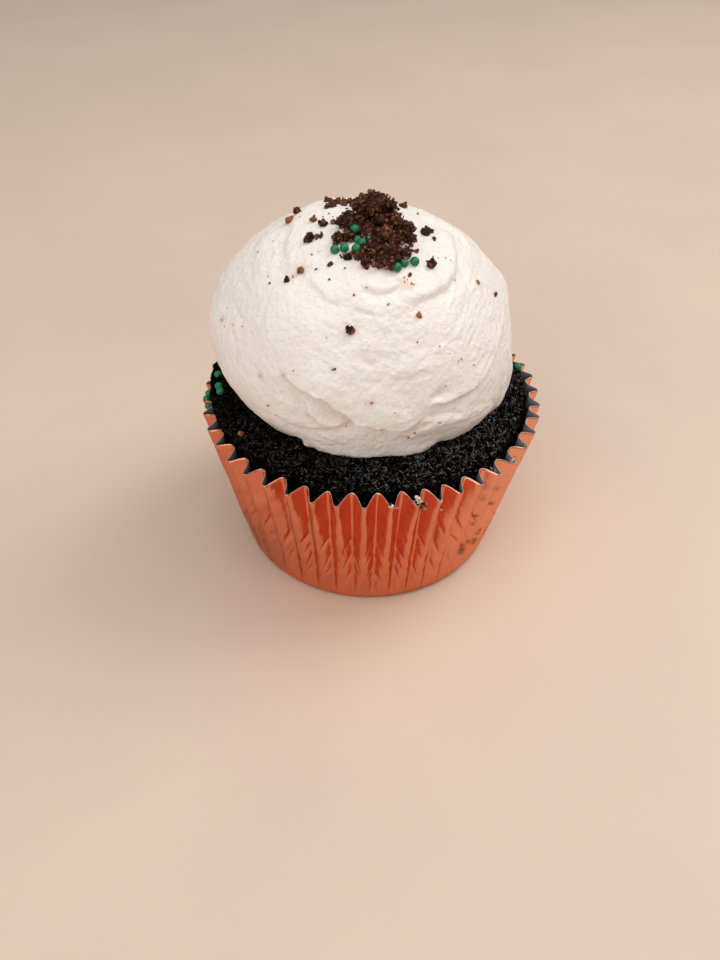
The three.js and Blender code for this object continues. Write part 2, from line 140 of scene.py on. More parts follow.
def turned(profile, sectors, steps):
    """A closed body turned about Z from a profile that starts and ends on the axis, in equal sectors."""
    bm = bmesh.new()
    spots = [bm.verts.new((radius, 0, height)) for radius, height in profile]
    edges = [bm.edges.new(pair) for pair in zip(spots, spots[1:])]
    angle = FULL_TURN / sectors
    bmesh.ops.spin(bm, geom=spots + edges, cent=(0, 0, 0), axis=(0, 0, 1), angle=angle, steps=steps)
    bm.verts.index_update()
    bm.faces.sort(key=corner_order)  # or their order differs from run to run
    sector = bpy.data.meshes.new("sector")
    bm.to_mesh(sector)
    bm.clear()
    points = points_of(sector)
    for i in range(sectors):
        set_points(sector, points @ np.array(Matrix.Rotation(angle * i, 3, "Z")).T)
        bm.from_mesh(sector)
    bpy.data.meshes.remove(sector)
    return bm


def tree_of(mesh):
    return BVHTree.FromPolygons([v.co for v in mesh.vertices], [p.vertices for p in mesh.polygons])


def piece(name, mesh, materials, replaces=()):
    """Puts a finished mesh in metres, dresses it and lets it ride on the cupcake."""
    mesh.transform(Matrix.Scale(MM, 4))
    for each in materials:
        mesh.materials.append(each)
    made = bpy.data.objects.new(name, mesh)
    bpy.context.scene.collection.objects.link(made)
    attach(made, "root")
    if replaces:
        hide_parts(*replaces)
    return made


def add_attribute(mesh, name, values):
    layer = mesh.attributes.new(name, "FLOAT", "POINT")
    layer.data.foreach_set("value", np.asarray(values, dtype=np.float32))


# ---- View ----

IMAGE_SIZE = (720, 960)
SENSOR = 36.0
LENS = 30.0
PIXELS_PER_UNIT = LENS / SENSOR * max(IMAGE_SIZE)
CAMERA_AT = Vector((-2.352, -135.502, 134.467))
CAMERA_PITCH = 42.925  # degrees below level


def sight(px, py):
    """The direction from the camera through a pixel of the view."""
    pitch = math.radians(CAMERA_PITCH)
    forward = Vector((0, math.cos(pitch), -math.sin(pitch)))
    upward = Vector((0, math.sin(pitch), math.cos(pitch)))
    across = (px - IMAGE_SIZE[0] / 2) / PIXELS_PER_UNIT
    rise = (IMAGE_SIZE[1] / 2 - py) / PIXELS_PER_UNIT
    return (forward + across * Vector((1, 0, 0)) + rise * upward).normalized()


def seen(tree, px, py):
    """Where a pixel's line of sight meets a surface, and the way the surface faces there."""
    spot, facing, _, _ = tree.ray_cast(CAMERA_AT, sight(px, py))
    return spot, facing


# ---- Foil cup ----

FLUTES = 45
STEPS_PER_FLUTE = 22
RIM_RADIUS = 35.0
RIM_HEIGHT = 34.0
RIM_WAVE = 0.35  # how far the rim waves up and down
RIM_WAVES = [(0.6, 4, 1.0), (0.4, 11, 0.0)]  # share, count round the rim, phase
BASE_RADIUS = 26.6
KNUCKLE_HEIGHT = 0.7  # where the flutes start, on the turn from the base to the side
CUP_FOOT = [(0, 0), (12, 0), (22, 0), (BASE_RADIUS, 0), (27.4, 0.2), (28.0, KNUCKLE_HEIGHT), (28.4, 1.4)]
HEEL_RADIUS = 28.6  # where the straight side starts
HEEL_HEIGHT = 2.2
FOOT_SHIFT = -0.5  # how far to the right its foot stands
FOIL_WALL = 0.14
HIDDEN_WALL = 1.1  # the lining's depth below the cake's edge, where nothing shows
LINING_SHOWS = 8.0  # how far down from the cut edge the lining is finished
LINING_STEP = 1.6
HIDDEN_STEP = 6
PLAIN_STEP = 0.85
CREASED_STEP = 0.39

# Its flutes, from sharp ridges outside to folds inside.
FOLD_DEPTH = 2.9
FOLD_DEPTH_SWING = 0.5  # how much deeper than that at the front, and shallower at the back
FOLD_SHALLOWER = 0.28  # by what share at the sides
FOLD_FLAT = (0.1, 0.12)  # half width of the folds' floors at the rim and at the foot, of half a flute
FOLD_HOLD = 0.75  # how soon the folds grow shallow towards the foot, less being later
FOLD_UNEVEN = 0.1
FLUTE_START = 0.4  # in degrees, as is the next
FLUTE_DRIFT = 2.4
DRIFT_WAVES = [(1.0, 1, -3.0), (0.25, 3, 1.2), (0.15, 5, 2.6), (0.1, 11, -0.8)]
FLUTE_ROUNDING = 0.035
RIDGE_FLAT = (0.14, 0.66)  # half width of the ridges' flats at the rim and at the foot, of half a flute
RIDGE_FLARE = 1.8  # how late the flats widen towards the foot
RIDGE_SWAY = 0.3
RIDGE_SWAY_LONG = 9
FLAT_WOBBLE = 0.07
FLAT_WOBBLE_LONG = 2.6
ARCH_FROM = 23.0  # height from which the folds round off into the arches of the rim
ARCH_LIFT = 0.45
ARCH_PLATEAU = 0.24  # how much of each fold lies at full depth at the rim, at the sides
EDGE_RAGGEDNESS = 0.35
EDGE_RAGGED_SIZE = 2.6

# The creases pressed across its folds, and its dents.
CREASED_BAND = (5.0, 24.5)  # heights between which the folds are creased
CREASED_FROM = 0.2  # how far from the ridge each crease starts, of the way to the fold
CREASED_REACH = 0.7  # and how far it goes
CREASE_SPACING = (2.6, 7.5)
CREASE_DEPTH = (0.22, 0.58)
CREASE_FADE = (0.9, 2.2)  # how far down each one fades out
CREASE_CLIMB = (0.8, 2.6)  # how far each one rises, from its middle to its end
CREASE_EDGE = 0.32  # how far up it ends
PLAIN_FACES = 0.2  # share of the folds' faces with no creases
LEFT_FLUTES = range(23, 31)  # these have more creases
LEFT_SPACING = (2.2, 5.0)
CREASED_LEFT = 0.05  # how much deeper the creases are at the left
DENT_DEPTH = 0.2
DENT_SIZE = 4.5
PRESSED_IN = 0.6  # share of a dent that goes inwards
PRESSED_ROUND = 0.7  # and share that goes round, away from the ridge

# Where painted shade darkens thin lines beside its ridges and its foot at the left, and where painted
# highlight makes it paler.
PAINTED_SHADE_LEFT = (-8.0, -16.0)  # how far left the ridges' far edges start to be dark, and are so
PAINTED_SHADE_RIGHT = (6.0, 14.0)  # the same at the right
PAINTED_SHADE_RIGHT_SHARE = 0.4
PAINTED_SHADE_LINE = ((-0.17, -0.07), (0.18, 0.06))  # where the line comes and goes, past the edge of the flat
# Painted shade on the foot at the left, where the cup stands in shadow.
FOOT_SHADE = 0.5  # how dark the foil is low down at the left
# The next four set a painted highlight: the foil paler towards the light at the right, and palest along its
# ridges.
PAINTED_HIGHLIGHT_RIGHT = (8.0, 33.0)  # how far right the foil starts to be paler, and is so
PAINTED_HIGHLIGHT_LINE = ((-0.36, -0.24), (-0.08, -0.2))  # where the palest line comes and goes, on the flat
PAINTED_HIGHLIGHT_LINE_MORE = 0.25
PAINTED_HIGHLIGHT_LINE_BEFORE = 0.3  # and its strength before the foil round it is pale


def side_radius(height):
    share = (height - HEEL_HEIGHT) / (RIM_HEIGHT - HEEL_HEIGHT)
    return HEEL_RADIUS + (RIM_RADIUS - HEEL_RADIUS) * share


def flute_rise(height):
    return np.clip((height - KNUCKLE_HEIGHT) / (RIM_HEIGHT - KNUCKLE_HEIGHT), 0, None)


def flute_turn(even):
    return even + np.radians(FLUTE_START + FLUTE_DRIFT * waves_round(even, DRIFT_WAVES))


def soft_ramp(value, low, high):
    """From 0 below `low` to 1 above `high`, straight between but with rounded corners."""
    after_low = np.logaddexp(0, (value - low) / FLUTE_ROUNDING)
    after_high = np.logaddexp(0, (value - high) / FLUTE_ROUNDING)
    return (after_low - after_high) * FLUTE_ROUNDING / (high - low)


def flute_place(even):
    """Which flute each bearing lies in, its side of the ridge, and 0 at the ridge to 1 at the fold."""
    across = even * FLUTES / FULL_TURN
    flute = np.round(across)
    across = across - flute
    return flute % FLUTES, np.where(across >= 0, 1, -1), 2 * np.abs(across)


def ridge_flat(height):
    """Half the width of the ridges' flats at each height, of half a flute."""
    down = 1 - np.clip(height / RIM_HEIGHT, 0, 1)
    return RIDGE_FLAT[0] + (RIDGE_FLAT[1] - RIDGE_FLAT[0]) * down**RIDGE_FLARE


def fold_share(even, height, wobble=0.0):
    """0 along a ridge and 1 along a fold: flat walls lower down, rounded arches at the rim."""
    _, _, from_ridge = flute_place(even)
    down = 1 - np.clip(height / RIM_HEIGHT, 0, 1)
    ridge = ridge_flat(height) + wobble
    fold = FOLD_FLAT[0] + (FOLD_FLAT[1] - FOLD_FLAT[0]) * down + 0.3 * wobble
    walls = np.clip(soft_ramp(from_ridge, ridge, 1 - fold), 0, 1)
    slope = 1 - ridge - ARCH_PLATEAU * np.cos(even) ** 2
    arches = np.sin(math.pi / 2 * np.clip((from_ridge - ridge) / slope, 0, 1))
    return walls + (arches - walls) * smooth_step(ARCH_FROM, RIM_HEIGHT, height)


def fold_depth(turn, rise):
    shallower = 1 - FOLD_SHALLOWER * np.cos(turn) ** 2
    return (FOLD_DEPTH - FOLD_DEPTH_SWING * np.sin(turn)) * shallower * rise**FOLD_HOLD


def steps_between(low, high, step):
    count = max(1, round((high - low) / step))
    return [low + (high - low) * i / count for i in range(count + 1)]


def cup_profile():
    """The cup's plain section: up the outside, over the cut edge, and down the lining."""
    heights = steps_between(HEEL_HEIGHT, CREASED_BAND[0], PLAIN_STEP)[:-1]
    heights += steps_between(*CREASED_BAND, CREASED_STEP)[:-1]
    heights += steps_between(CREASED_BAND[1], RIM_HEIGHT, PLAIN_STEP)
    outside = CUP_FOOT + [(side_radius(z), z) for z in heights]
    lining_foot = RIM_HEIGHT - LINING_SHOWS
    lining_heights = steps_between(lining_foot, RIM_HEIGHT, LINING_STEP)[::-1]
    lining = [(side_radius(z) - FOIL_WALL, z) for z in lining_heights]
    hidden_heights = steps_between(HEEL_HEIGHT, lining_foot - 1, HIDDEN_STEP)[::-1]
    hidden = [(side_radius(z) - HIDDEN_WALL, z) for z in hidden_heights]
    floor = [(BASE_RADIUS - 0.3, HIDDEN_WALL), (14, HIDDEN_WALL), (0, HIDDEN_WALL)]
    return outside + lining + hidden + floor


def creases(even, height):
    """How far each point of the side is pressed in, below the short slanting creases across its folds."""
    press = np.zeros_like(height)
    flute, side, from_ridge = flute_place(even)
    low, high = CREASED_BAND
    shown = (height > low - 1) & (height < high + 1)
    faces = [(each, each_side, False) for each in range(FLUTES) for each_side in (-1, 1)]
    faces += [(each, 1, True) for each in LEFT_FLUTES]
    pick = random.Random(21)
    for each, each_side, extra in faces:
        near = np.nonzero(shown & (flute == each) & (side == each_side))[0]
        along = (from_ridge[near] - CREASED_FROM) / CREASED_REACH
        on_face = np.clip(1.15 - (2 * along - 1) ** 2, 0, 1)
        plain = pick.random() < PLAIN_FACES and not extra
        middle = 0 if plain else pick.uniform(0.6, 1.0) * high
        while middle > low + 1:
            depth = pick.uniform(*CREASE_DEPTH)
            fade = pick.uniform(*CREASE_FADE) * (1.3 - 0.6 * along)
            up = height[near] - middle - pick.uniform(*CREASE_CLIMB) * (2 * along - 1)
            shape = np.where(up < 0, np.exp(np.minimum(up, 0) / fade), np.exp(-((up / CREASE_EDGE) ** 2)))
            press[near] = np.maximum(press[near], depth * on_face * shape)
            middle -= pick.uniform(*(LEFT_SPACING if extra else CREASE_SPACING))
    fading = smooth_step(low - 1, low + 4, height) * smooth_step(high + 0.7, high - 2, height)
    return press * fading


def flute_noise(flute, height, shift):
    """Smooth noise over the flutes' numbers, spread apart so that each differs, and over the height."""
    return noise_over(np.stack([flute, height, 0 * height], axis=1), 1.0, shift)


def press_flutes(points, detailed):
    """Presses the flutes, and the creases between them, into a plain turned cup."""
    x, y, z = points.T
    even = np.arctan2(y, x)
    rise = flute_rise(z)
    turn = flute_turn(even)
    flute, side, from_ridge = flute_place(even)
    lift = RIM_WAVE * waves_round(turn, RIM_WAVES) * rise
    depth = fold_depth(turn, rise)
    wobble, bulge, sway = 0.0, 0.0, 0.0
    if detailed:
        wobble = FLAT_WOBBLE * flute_noise(5.3 * flute + 0.5 * side, z / FLAT_WOBBLE_LONG, 0.0)
        on_side = smooth_step(3, 8, z) * smooth_step(RIM_HEIGHT + 1, RIM_HEIGHT - 6, z)
        outside = np.hypot(x, y) > side_radius(z) - FOIL_WALL / 2
        deeper = 1 + CREASED_LEFT * smooth_step(-8, -22, x)
        bulge = DENT_DEPTH * on_side * noise_over(points, DENT_SIZE) - creases(even, z) * outside * deeper
        sway = RIDGE_SWAY * rise * flute_noise(3.1 * flute, z / RIDGE_SWAY_LONG, 4.0)
        sway = sway * smooth_step(1.0, 0.6, from_ridge)
        fold = np.floor(even * FLUTES / FULL_TURN) % FLUTES
        depth = depth * (1 + FOLD_UNEVEN * flute_noise(3.7 * fold, 0 * z, 2.0))
        ring = np.stack([x, y, 0 * z], axis=1)
        at_rim = smooth_step(RIM_HEIGHT - 5, RIM_HEIGHT, z)
        lift = lift + EDGE_RAGGEDNESS * noise_over(ring, EDGE_RAGGED_SIZE, 7.0) * at_rim
        lift = lift + ARCH_LIFT * (fold_share(even, z) - 0.4) * at_rim
    reach = np.hypot(x, y) - depth * fold_share(even, z, wobble) + PRESSED_IN * bulge
    turn = turn + (PRESSED_ROUND * side * bulge + sway) / RIM_RADIUS
    shift = FOOT_SHIFT * (1 - np.clip(z / RIM_HEIGHT, 0, 1))
    return np.stack([reach * np.cos(turn) + shift, reach * np.sin(turn), z + lift], axis=1)


def painted_fold_shade(points):
    """How dark the painted shade makes the foil, by place on a plain cup: in thin lines at either side,
    beside its deep folds, and at the left foot.
    """
    x, y, z = points.T
    even = np.arctan2(y, x)
    _, side, from_ridge = flute_place(even)
    past = from_ridge - ridge_flat(z)
    left = (side < 0) * smooth_step(*PAINTED_SHADE_LEFT, x)
    right = PAINTED_SHADE_RIGHT_SHARE * (side > 0) * smooth_step(*PAINTED_SHADE_RIGHT, x)
    edge = smooth_step(*PAINTED_SHADE_LINE[0], past) * smooth_step(*PAINTED_SHADE_LINE[1], past) * smooth_step(6, -6, y)
    line = edge * (left + right) * smooth_step(RIM_HEIGHT - 0.5, RIM_HEIGHT - 3, z) * smooth_step(2, 7, z)
    foot = FOOT_SHADE * smooth_step(-14, -26, x) * smooth_step(22, 6, z) * smooth_step(10, -6, y)
    return np.maximum(line, foot)


def painted_foil_highlight(points):
    """How pale the painted highlight makes the foil, by place on a plain cup: towards the right, where the
    light falls, and most along the ridges.
    """
    x, y, z = points.T
    _, side, from_ridge = flute_place(np.arctan2(y, x))
    past = from_ridge - ridge_flat(z)
    line = (side > 0) * smooth_step(*PAINTED_HIGHLIGHT_LINE[0], past) * smooth_step(*PAINTED_HIGHLIGHT_LINE[1], past)
    all_over = (1 - PAINTED_HIGHLIGHT_LINE_MORE + PAINTED_HIGHLIGHT_LINE_MORE * line) * smooth_step(*PAINTED_HIGHLIGHT_RIGHT, x)
    return all_over + PAINTED_HIGHLIGHT_LINE_BEFORE * line * smooth_step(*PAINTED_SHADE_RIGHT, x)


def foil_cup():
    bm = turned(cup_profile(), FLUTES, STEPS_PER_FLUTE)
    foil, lining, cut_edge = 0, 1, 2
    for face in bm.faces:
        middle = face.calc_center_median()
        inset = side_radius(middle.z) - math.hypot(middle.x, middle.y)
        if middle.z > RIM_HEIGHT - 1e-3:
            face.material_index = cut_edge
        elif middle.z > HEEL_HEIGHT and inset > FOIL_WALL / 2:
            face.material_index = lining
        elif middle.z > HIDDEN_WALL / 2 and inset > 1:
            face.material_index = lining
        else:
            face.material_index = foil
    mesh = mesh_from(bm, "foil_cup")
    plain = points_of(mesh)
    set_points(mesh, press_flutes(plain, detailed=True))
    # Painted shade: dark lines beside the deep folds, and the shaded foot at the left.
    add_attribute(mesh, "painted_shade", painted_fold_shade(plain))
    # The pale attribute is a painted highlight and painted reflection of the light at the right.
    add_attribute(mesh, "pale", painted_foil_highlight(plain))
    return mesh


# ---- Cake ----

CAKE_FLOOR = 0.55
CAKE_SIDE_INSET = 0.8
CAKE_SIDE_TOP = 31.5  # height at which its side ends and its neck starts
CAKE_NECK_EASE = 0.35  # how much less it is inset there
CAKE_EDGE = 33.2  # where the dome starts
CAKE_EDGE_RADIUS = 31.2
CAKE_LEFT_RISE = 4.5
CAKE_LEFT_SWELL = 1.7
CAKE_RIGHT_RISE = 2.6
CAKE_RIGHT_SWELL = 0.6
CAKE_RIGHT_BEARING = (8.0, 19.0)  # middle and reach in degrees
CAKE_SPREAD = 1.1  # how far it may bulge past the folds of the rim, for its height over them
CAKE_CROWN = 7.0
CROWN_POWER = 2.8
CROWN_EASE = 0.72
CAKE_SECTORS = 46
CAKE_STEPS = 20  # in each sector
DOME_SHOWN = 0.26  # how much of the dome's radius the icing leaves open
DOME_STEPS = 34
CAKE_CRUMB = 0.34  # height of its worm-like crumb
CAKE_CRUMB_SIZE = 1.15
CAKE_FINE_CRUMB = 0.16
CAKE_FINE_SIZE = CAKE_CRUMB_SIZE / 1.9
CAKE_HUMMOCK = 0.3
CAKE_HUMMOCK_SIZE = 3.0

# The strands of crumb on it.
STRANDS = 5400
STRANDS_ABOVE = 34.0
STRANDS_OUTSIDE = 21.0
STRAND_LONG = (0.2, 0.78)  # half its length
STRAND_THICK = (0.08, 0.135)  # half its thickness
STRAND_PATCH = 3.0  # size of the patches in which strands lie side by side


def left_share(turn):
    return ((1 - np.cos(turn)) / 2) ** 2


def right_share(turn):
    middle, reach = np.radians(CAKE_RIGHT_BEARING)
    away = (turn - middle + math.pi) % FULL_TURN - math.pi
    return np.exp(-((away / reach) ** 2))


def cake_edge_rise(turn):
    return CAKE_LEFT_RISE * left_share(turn) + CAKE_RIGHT_RISE * right_share(turn)


def cake_edge_radius(turn):
    swell = CAKE_LEFT_SWELL * left_share(turn) + CAKE_RIGHT_SWELL * right_share(turn)
    return CAKE_EDGE_RADIUS + FOLD_DEPTH_SWING * np.sin(turn) + swell


def cake_top(x, y):
    """Height of the cake's dome over a place."""
    turn = np.arctan2(y, x)
    share = np.clip(np.hypot(x, y) / cake_edge_radius(turn), 0, 1)
    even_peak = CAKE_EDGE + CAKE_LEFT_RISE / 4
    leaned = even_peak + (CAKE_EDGE + CAKE_LEFT_RISE * left_share(turn) - even_peak) * share
    edge = leaned + CAKE_RIGHT_RISE * right_share(turn) * share**5
    return edge + CAKE_CROWN * (1 - share**CROWN_POWER) ** CROWN_EASE


def cake_profile():
    """The cake's plain section: the side, a short neck, and the dome out to its centre."""
    side = [(0, CAKE_FLOOR), (14, CAKE_FLOOR), (BASE_RADIUS - 0.6, CAKE_FLOOR)]
    heights = steps_between(HEEL_HEIGHT + 0.6, CAKE_SIDE_TOP, 2.4)
    side += [(side_radius(z) - CAKE_SIDE_INSET, z) for z in heights]
    neck = [(RIM_RADIUS, z) for z in steps_between(CAKE_SIDE_TOP + 0.2, CAKE_EDGE - 0.2, 0.3)]
    shown = [1 - DOME_SHOWN * (i / DOME_STEPS) ** 1.35 for i in range(DOME_STEPS + 1)]
    covered = [0.7, 0.6, 0.45, 0.3, 0.15, 0]
    return side + neck + [(CAKE_EDGE_RADIUS * share, CAKE_EDGE) for share in shown + covered]


def inside_folds(turn):
    """How far out the top of the cake's side reaches, within the cup's folds."""
    return RIM_RADIUS - fold_depth(turn, 1) - CAKE_SIDE_INSET + CAKE_NECK_EASE


def smooth_cake(plain, turn):
    """The plain section's points as the cake's side, neck and dome, with no crumb on them."""
    x, y, z = plain.T
    points = press_flutes(plain, detailed=False)
    top_of_side = inside_folds(turn)
    edge_height = CAKE_EDGE + cake_edge_rise(turn)
    neck = (z > CAKE_SIDE_TOP) & (z < CAKE_EDGE - 1e-3)
    up = np.clip((z - CAKE_SIDE_TOP) / (CAKE_EDGE - CAKE_SIDE_TOP), 0, 1)
    neck_reach = top_of_side + (cake_edge_radius(turn) - top_of_side) * up**0.5
    neck_height = CAKE_SIDE_TOP + (edge_height - CAKE_SIDE_TOP) * up
    points[neck] = np.stack([neck_reach * np.cos(turn), neck_reach * np.sin(turn), neck_height], axis=1)[neck]
    dome = z >= CAKE_EDGE - 1e-3
    reach = np.hypot(x, y) / CAKE_EDGE_RADIUS * cake_edge_radius(turn)
    over = np.stack([reach * np.cos(turn), reach * np.sin(turn)], axis=1)
    points[dome] = np.column_stack([over, cake_top(over[:, 0], over[:, 1])])[dome]
    return points


def chocolate_cake():
    mesh = mesh_from(turned(cake_profile(), CAKE_SECTORS, CAKE_STEPS), "chocolate_cake")
    plain = points_of(mesh)
    turn = flute_turn(np.arctan2(plain[:, 1], plain[:, 0]))
    points = smooth_cake(plain, turn)
    set_points(mesh, points)
    crests = ridges_over(points, CAKE_CRUMB_SIZE)
    fine = ridges_over(points, CAKE_FINE_SIZE, 5.0)
    hummocks = CAKE_HUMMOCK * noise_over(points, CAKE_HUMMOCK_SIZE, 9.0)
    crumb = CAKE_CRUMB * (crests - 0.4) + CAKE_FINE_CRUMB * fine + hummocks
    shows = smooth_step(CAKE_SIDE_TOP - 0.5, CAKE_EDGE, points[:, 2])
    points = points + normals_of(mesh) * (crumb * shows)[:, None]
    room = inside_folds(turn) + CAKE_SPREAD * np.clip(points[:, 2] - RIM_HEIGHT, 0, None)
    tight = np.minimum(1, room / np.maximum(np.hypot(points[:, 0], points[:, 1]), 1))
    points[:, :2] *= np.where(plain[:, 2] > CAKE_SIDE_TOP, tight, 1)[:, None]
    set_points(mesh, points)
    add_attribute(mesh, "crest", np.clip(0.75 * crests + 0.45 * fine, 0, 1))
    # Real patches of gloss, with a painted glint that grows towards the right, where the light falls.
    patches = smooth_step(-0.5, 0.5, noise_over(points, 5.0, 13.0))
    painted_light_side = smooth_step(-34, 20, points[:, 0])
    add_attribute(mesh, "gloss_and_painted_glint", (0.3 + 0.7 * painted_light_side) * (0.4 + 0.6 * patches))
    return mesh


def strand_places(cake, pick):
    """Places picked at random over the open part of the cake's top, and the way that it faces there."""
    faces = cake.polygons
    middles, facings, areas = np.empty(3 * len(faces)), np.empty(3 * len(faces)), np.empty(len(faces))
    faces.foreach_get("center", middles)
    faces.foreach_get("normal", facings)
    faces.foreach_get("area", areas)
    middles, facings = middles.reshape(-1, 3), facings.reshape(-1, 3)
    open_top = (middles[:, 2] > STRANDS_ABOVE) & (np.hypot(middles[:, 0], middles[:, 1]) > STRANDS_OUTSIDE)
    share = areas * open_top
    chosen = pick.choice(len(faces), STRANDS, p=share / share.sum())
    return middles[chosen], facings[chosen]


def strand_ways(at, up, pick):
    """The direction along each strand, and the one across it."""
    lie = FULL_TURN * noise_over(at, STRAND_PATCH, 31.0) + pick.normal(0, 0.45, STRANDS)
    along = np.stack([np.cos(lie), np.sin(lie), pick.normal(0, 0.35, STRANDS)], axis=1)
    along -= up * np.sum(along * up, axis=1, keepdims=True) * 0.85
    along /= np.linalg.norm(along, axis=1, keepdims=True)
    across = np.cross(up, along)
    return along, across / np.linalg.norm(across, axis=1, keepdims=True)


def crumb_strands(cake):
    """Short strands of crumb lying all over the cake's top, side by side in patches."""
    pick = np.random.default_rng(81)
    at, up = strand_places(cake, pick)
    along, across = strand_ways(at, up, pick)
    long = pick.uniform(*STRAND_LONG, (STRANDS, 1, 1))
    thick = pick.uniform(*STRAND_THICK, (STRANDS, 1, 1))
    ball = points_of(BALLS[1])[None]
    ball = ball * (1 + pick.uniform(-0.25, 0.25, (STRANDS, ball.shape[1], 1)))
    points = ball[..., :1] * long * along[:, None] + ball[..., 1:2] * thick * across[:, None]
    points = points + ball[..., 2:] * thick * 0.8 * np.cross(along, across)[:, None] + at[:, None]
    bm = bmesh.new()
    for _ in range(STRANDS):
        bm.from_mesh(BALLS[1])
    mesh = bpy.data.meshes.new("cake_strands")
    bm.to_mesh(mesh)
    bm.free()
    set_points(mesh, points.reshape(-1, 3))
    # Random glossiness per strand, with a painted sheen that is lighter towards the right, where the light
    # falls.
    gloss_and_painted_sheen = pick.uniform(0, 1, STRANDS) ** 2.5 * (0.25 + 0.75 * smooth_step(-34, 12, at[:, 0]))
    add_attribute(mesh, "gloss_and_painted_sheen", np.repeat(gloss_and_painted_sheen, ball.shape[1]))
    return mesh


# ---- Frosting ----

MOUND_CENTRE = Vector((-1.4, -0.3, 47.5))
MOUND_RADIUS = 29.3
MOUND_OVAL = 0.056
MOUND_OVAL_BEARING = 24.5
MOUND_LEAN = 15.5  # in degrees, to the right
MOUND_CROWN = (25.5, 1.87)  # height and power
MOUND_SKIRT = (21.6, 1.61)
MOUND_SECTORS = 30
MOUND_STEPS = 19  # in each sector
MOUND_ROWS = 172
MOUND_UNDER = [1.0, 0.97, 0.9, 0.7, 0.4, 0.0]  # its rows under the icing, by share of its foot's radius
MOUND_SINK = 0.35  # how deep its foot sits in the cake's crumb
CONTACT_HALVINGS = 26
MOUND_LUMPS = 0.3
MOUND_WAVES = [  # share, run over the direction, phase
    (0.6, (5.1, 4.3, 2.0), 1.0),
    (0.5, (-4.6, 5.2, 2.4), 2.4),
    (0.5, (3.0, -6.0, 9.0), 0.0),
]

# Strokes of the palette knife. Each is a line, how high the icing laps up on its upper side and how far that
# reaches, how deep it dips on its lower side and how far that reaches, how ragged the edge is and how soft.
# Lines run from left to right as seen from outside, or anticlockwise round the top.
# The ones in view, by pixel:
STROKES_SEEN = [
    ([(279, 373), (292, 383), (303, 391), (315, 395.3), (324, 397.5), (330, 403.7), (340, 411.3), (352, 420),
      (355.5, 424), (369, 424.5), (379.5, 427.5), (395, 430), (406, 428.5), (415, 425), (424, 417.5)],
     1.0, 5.0, 1.6, 3.4, 0.35, 0.14),
    ([(296, 398), (304, 406), (307.5, 414), (315, 420), (322.5, 425), (332, 427), (343, 428), (353, 426)],
     0.5, 2.2, 0.6, 2.0, 0.3, 0.22),
    ([(252, 401), (262, 408), (276, 414.6), (290, 422), (304, 427.6), (317, 430), (330, 431), (343, 430)],
     0.3, 2.5, 0.35, 2.0, 0.2, 0.45),
    ([(427, 410), (434, 404), (446.5, 401.5), (455, 397.5), (465, 391.5), (474, 385.5), (481, 378),
      (487, 369), (492.5, 357), (497, 347), (502, 334), (504, 322)], 0.4, 1.8, 0.6, 1.8, 0.2, 0.3),
    ([(431, 404.6), (440, 403.3), (447, 402), (453, 398.5)], 0.2, 0.6, -0.2, 0.6, 0.1, 0.2),
    ([(423, 417.5), (436, 415.3), (446.7, 413), (454.3, 412), (463, 413)], -0.45, 0.5, 0.45, 0.5, 0.12, 0.2),
    ([(407, 441), (412, 436.5), (418, 432.5), (427, 427.5), (436, 423), (450, 418), (464, 414), (476, 409)],
     0.6, 1.5, -0.6, 1.7, 0.35, 0.3),
    ([(408.5, 437.5), (412, 432), (418.5, 427.6), (425, 425.4), (432, 422.6)], -0.5, 0.4, 0.5, 0.4, 0.1, 0.2),
    ([(466, 420), (479, 411.5), (488, 405.5), (494, 397)], 0.3, 1.2, 0.4, 1.0, 0.25, 0.3),
    ([(366, 377), (374, 380), (385, 383.3), (392.5, 380), (403.4, 376.6), (414.2, 375.5), (425, 370),
      (434, 362)], 0.1, 1.4, 0.12, 1.5, 0.6, 0.5),
    ([(361, 364), (366.5, 362), (371, 366), (376, 371)], -0.14, 0.5, 0.14, 0.5, 0.1, 0.2),
    ([(360, 284), (370, 289.5), (380, 291.5), (391, 290), (401, 285.5)], 0.35, 2.0, 0.35, 1.5, 0.25, 0.6),
    ([(356, 306.5), (362, 310.5), (368, 311.8), (376, 312)], 0.2, 1.0, 0.3, 0.8, 0.1, 0.4),
    ([(398, 306), (418, 301), (433, 294), (446, 287), (454, 277), (457, 263), (453, 243), (446, 228)],
     0.55, 4.0, 0.35, 2.6, 0.4, 0.9),
    ([(420, 216), (434, 222), (447, 229), (458, 237), (468, 248)], 0.4, 2.0, 0.3, 1.6, 0.4, 0.6),
    ([(314, 203), (299, 213), (291, 224), (286, 237.6), (284.2, 253.6), (287, 267), (293, 277)],
     0.24, 3.2, 0.26, 2.8, 0.5, 1.1),
    ([(262, 232), (256, 243), (254, 256), (254, 274), (258, 290)], 0.13, 2.6, 0.13, 2.2, 0.5, 1.2),
    ([(306, 277), (315, 288), (327, 298), (342, 305)], 0.25, 2.0, 0.25, 1.6, 0.3, 0.7),
    ([(303, 434), (310, 437), (318, 440.5), (326, 444), (334, 447.5)], 0.2, 0.5, 0.15, 0.6, 0.1, 0.2),
    ([(233, 306), (236.5, 312), (240, 318.5), (242, 325)], -0.25, 0.45, 0.25, 0.5, 0.1, 0.2),
    ([(229.5, 330), (233, 340), (236, 352), (237, 366)], -0.2, 0.6, 0.15, 0.8, 0.15, 0.3),
]
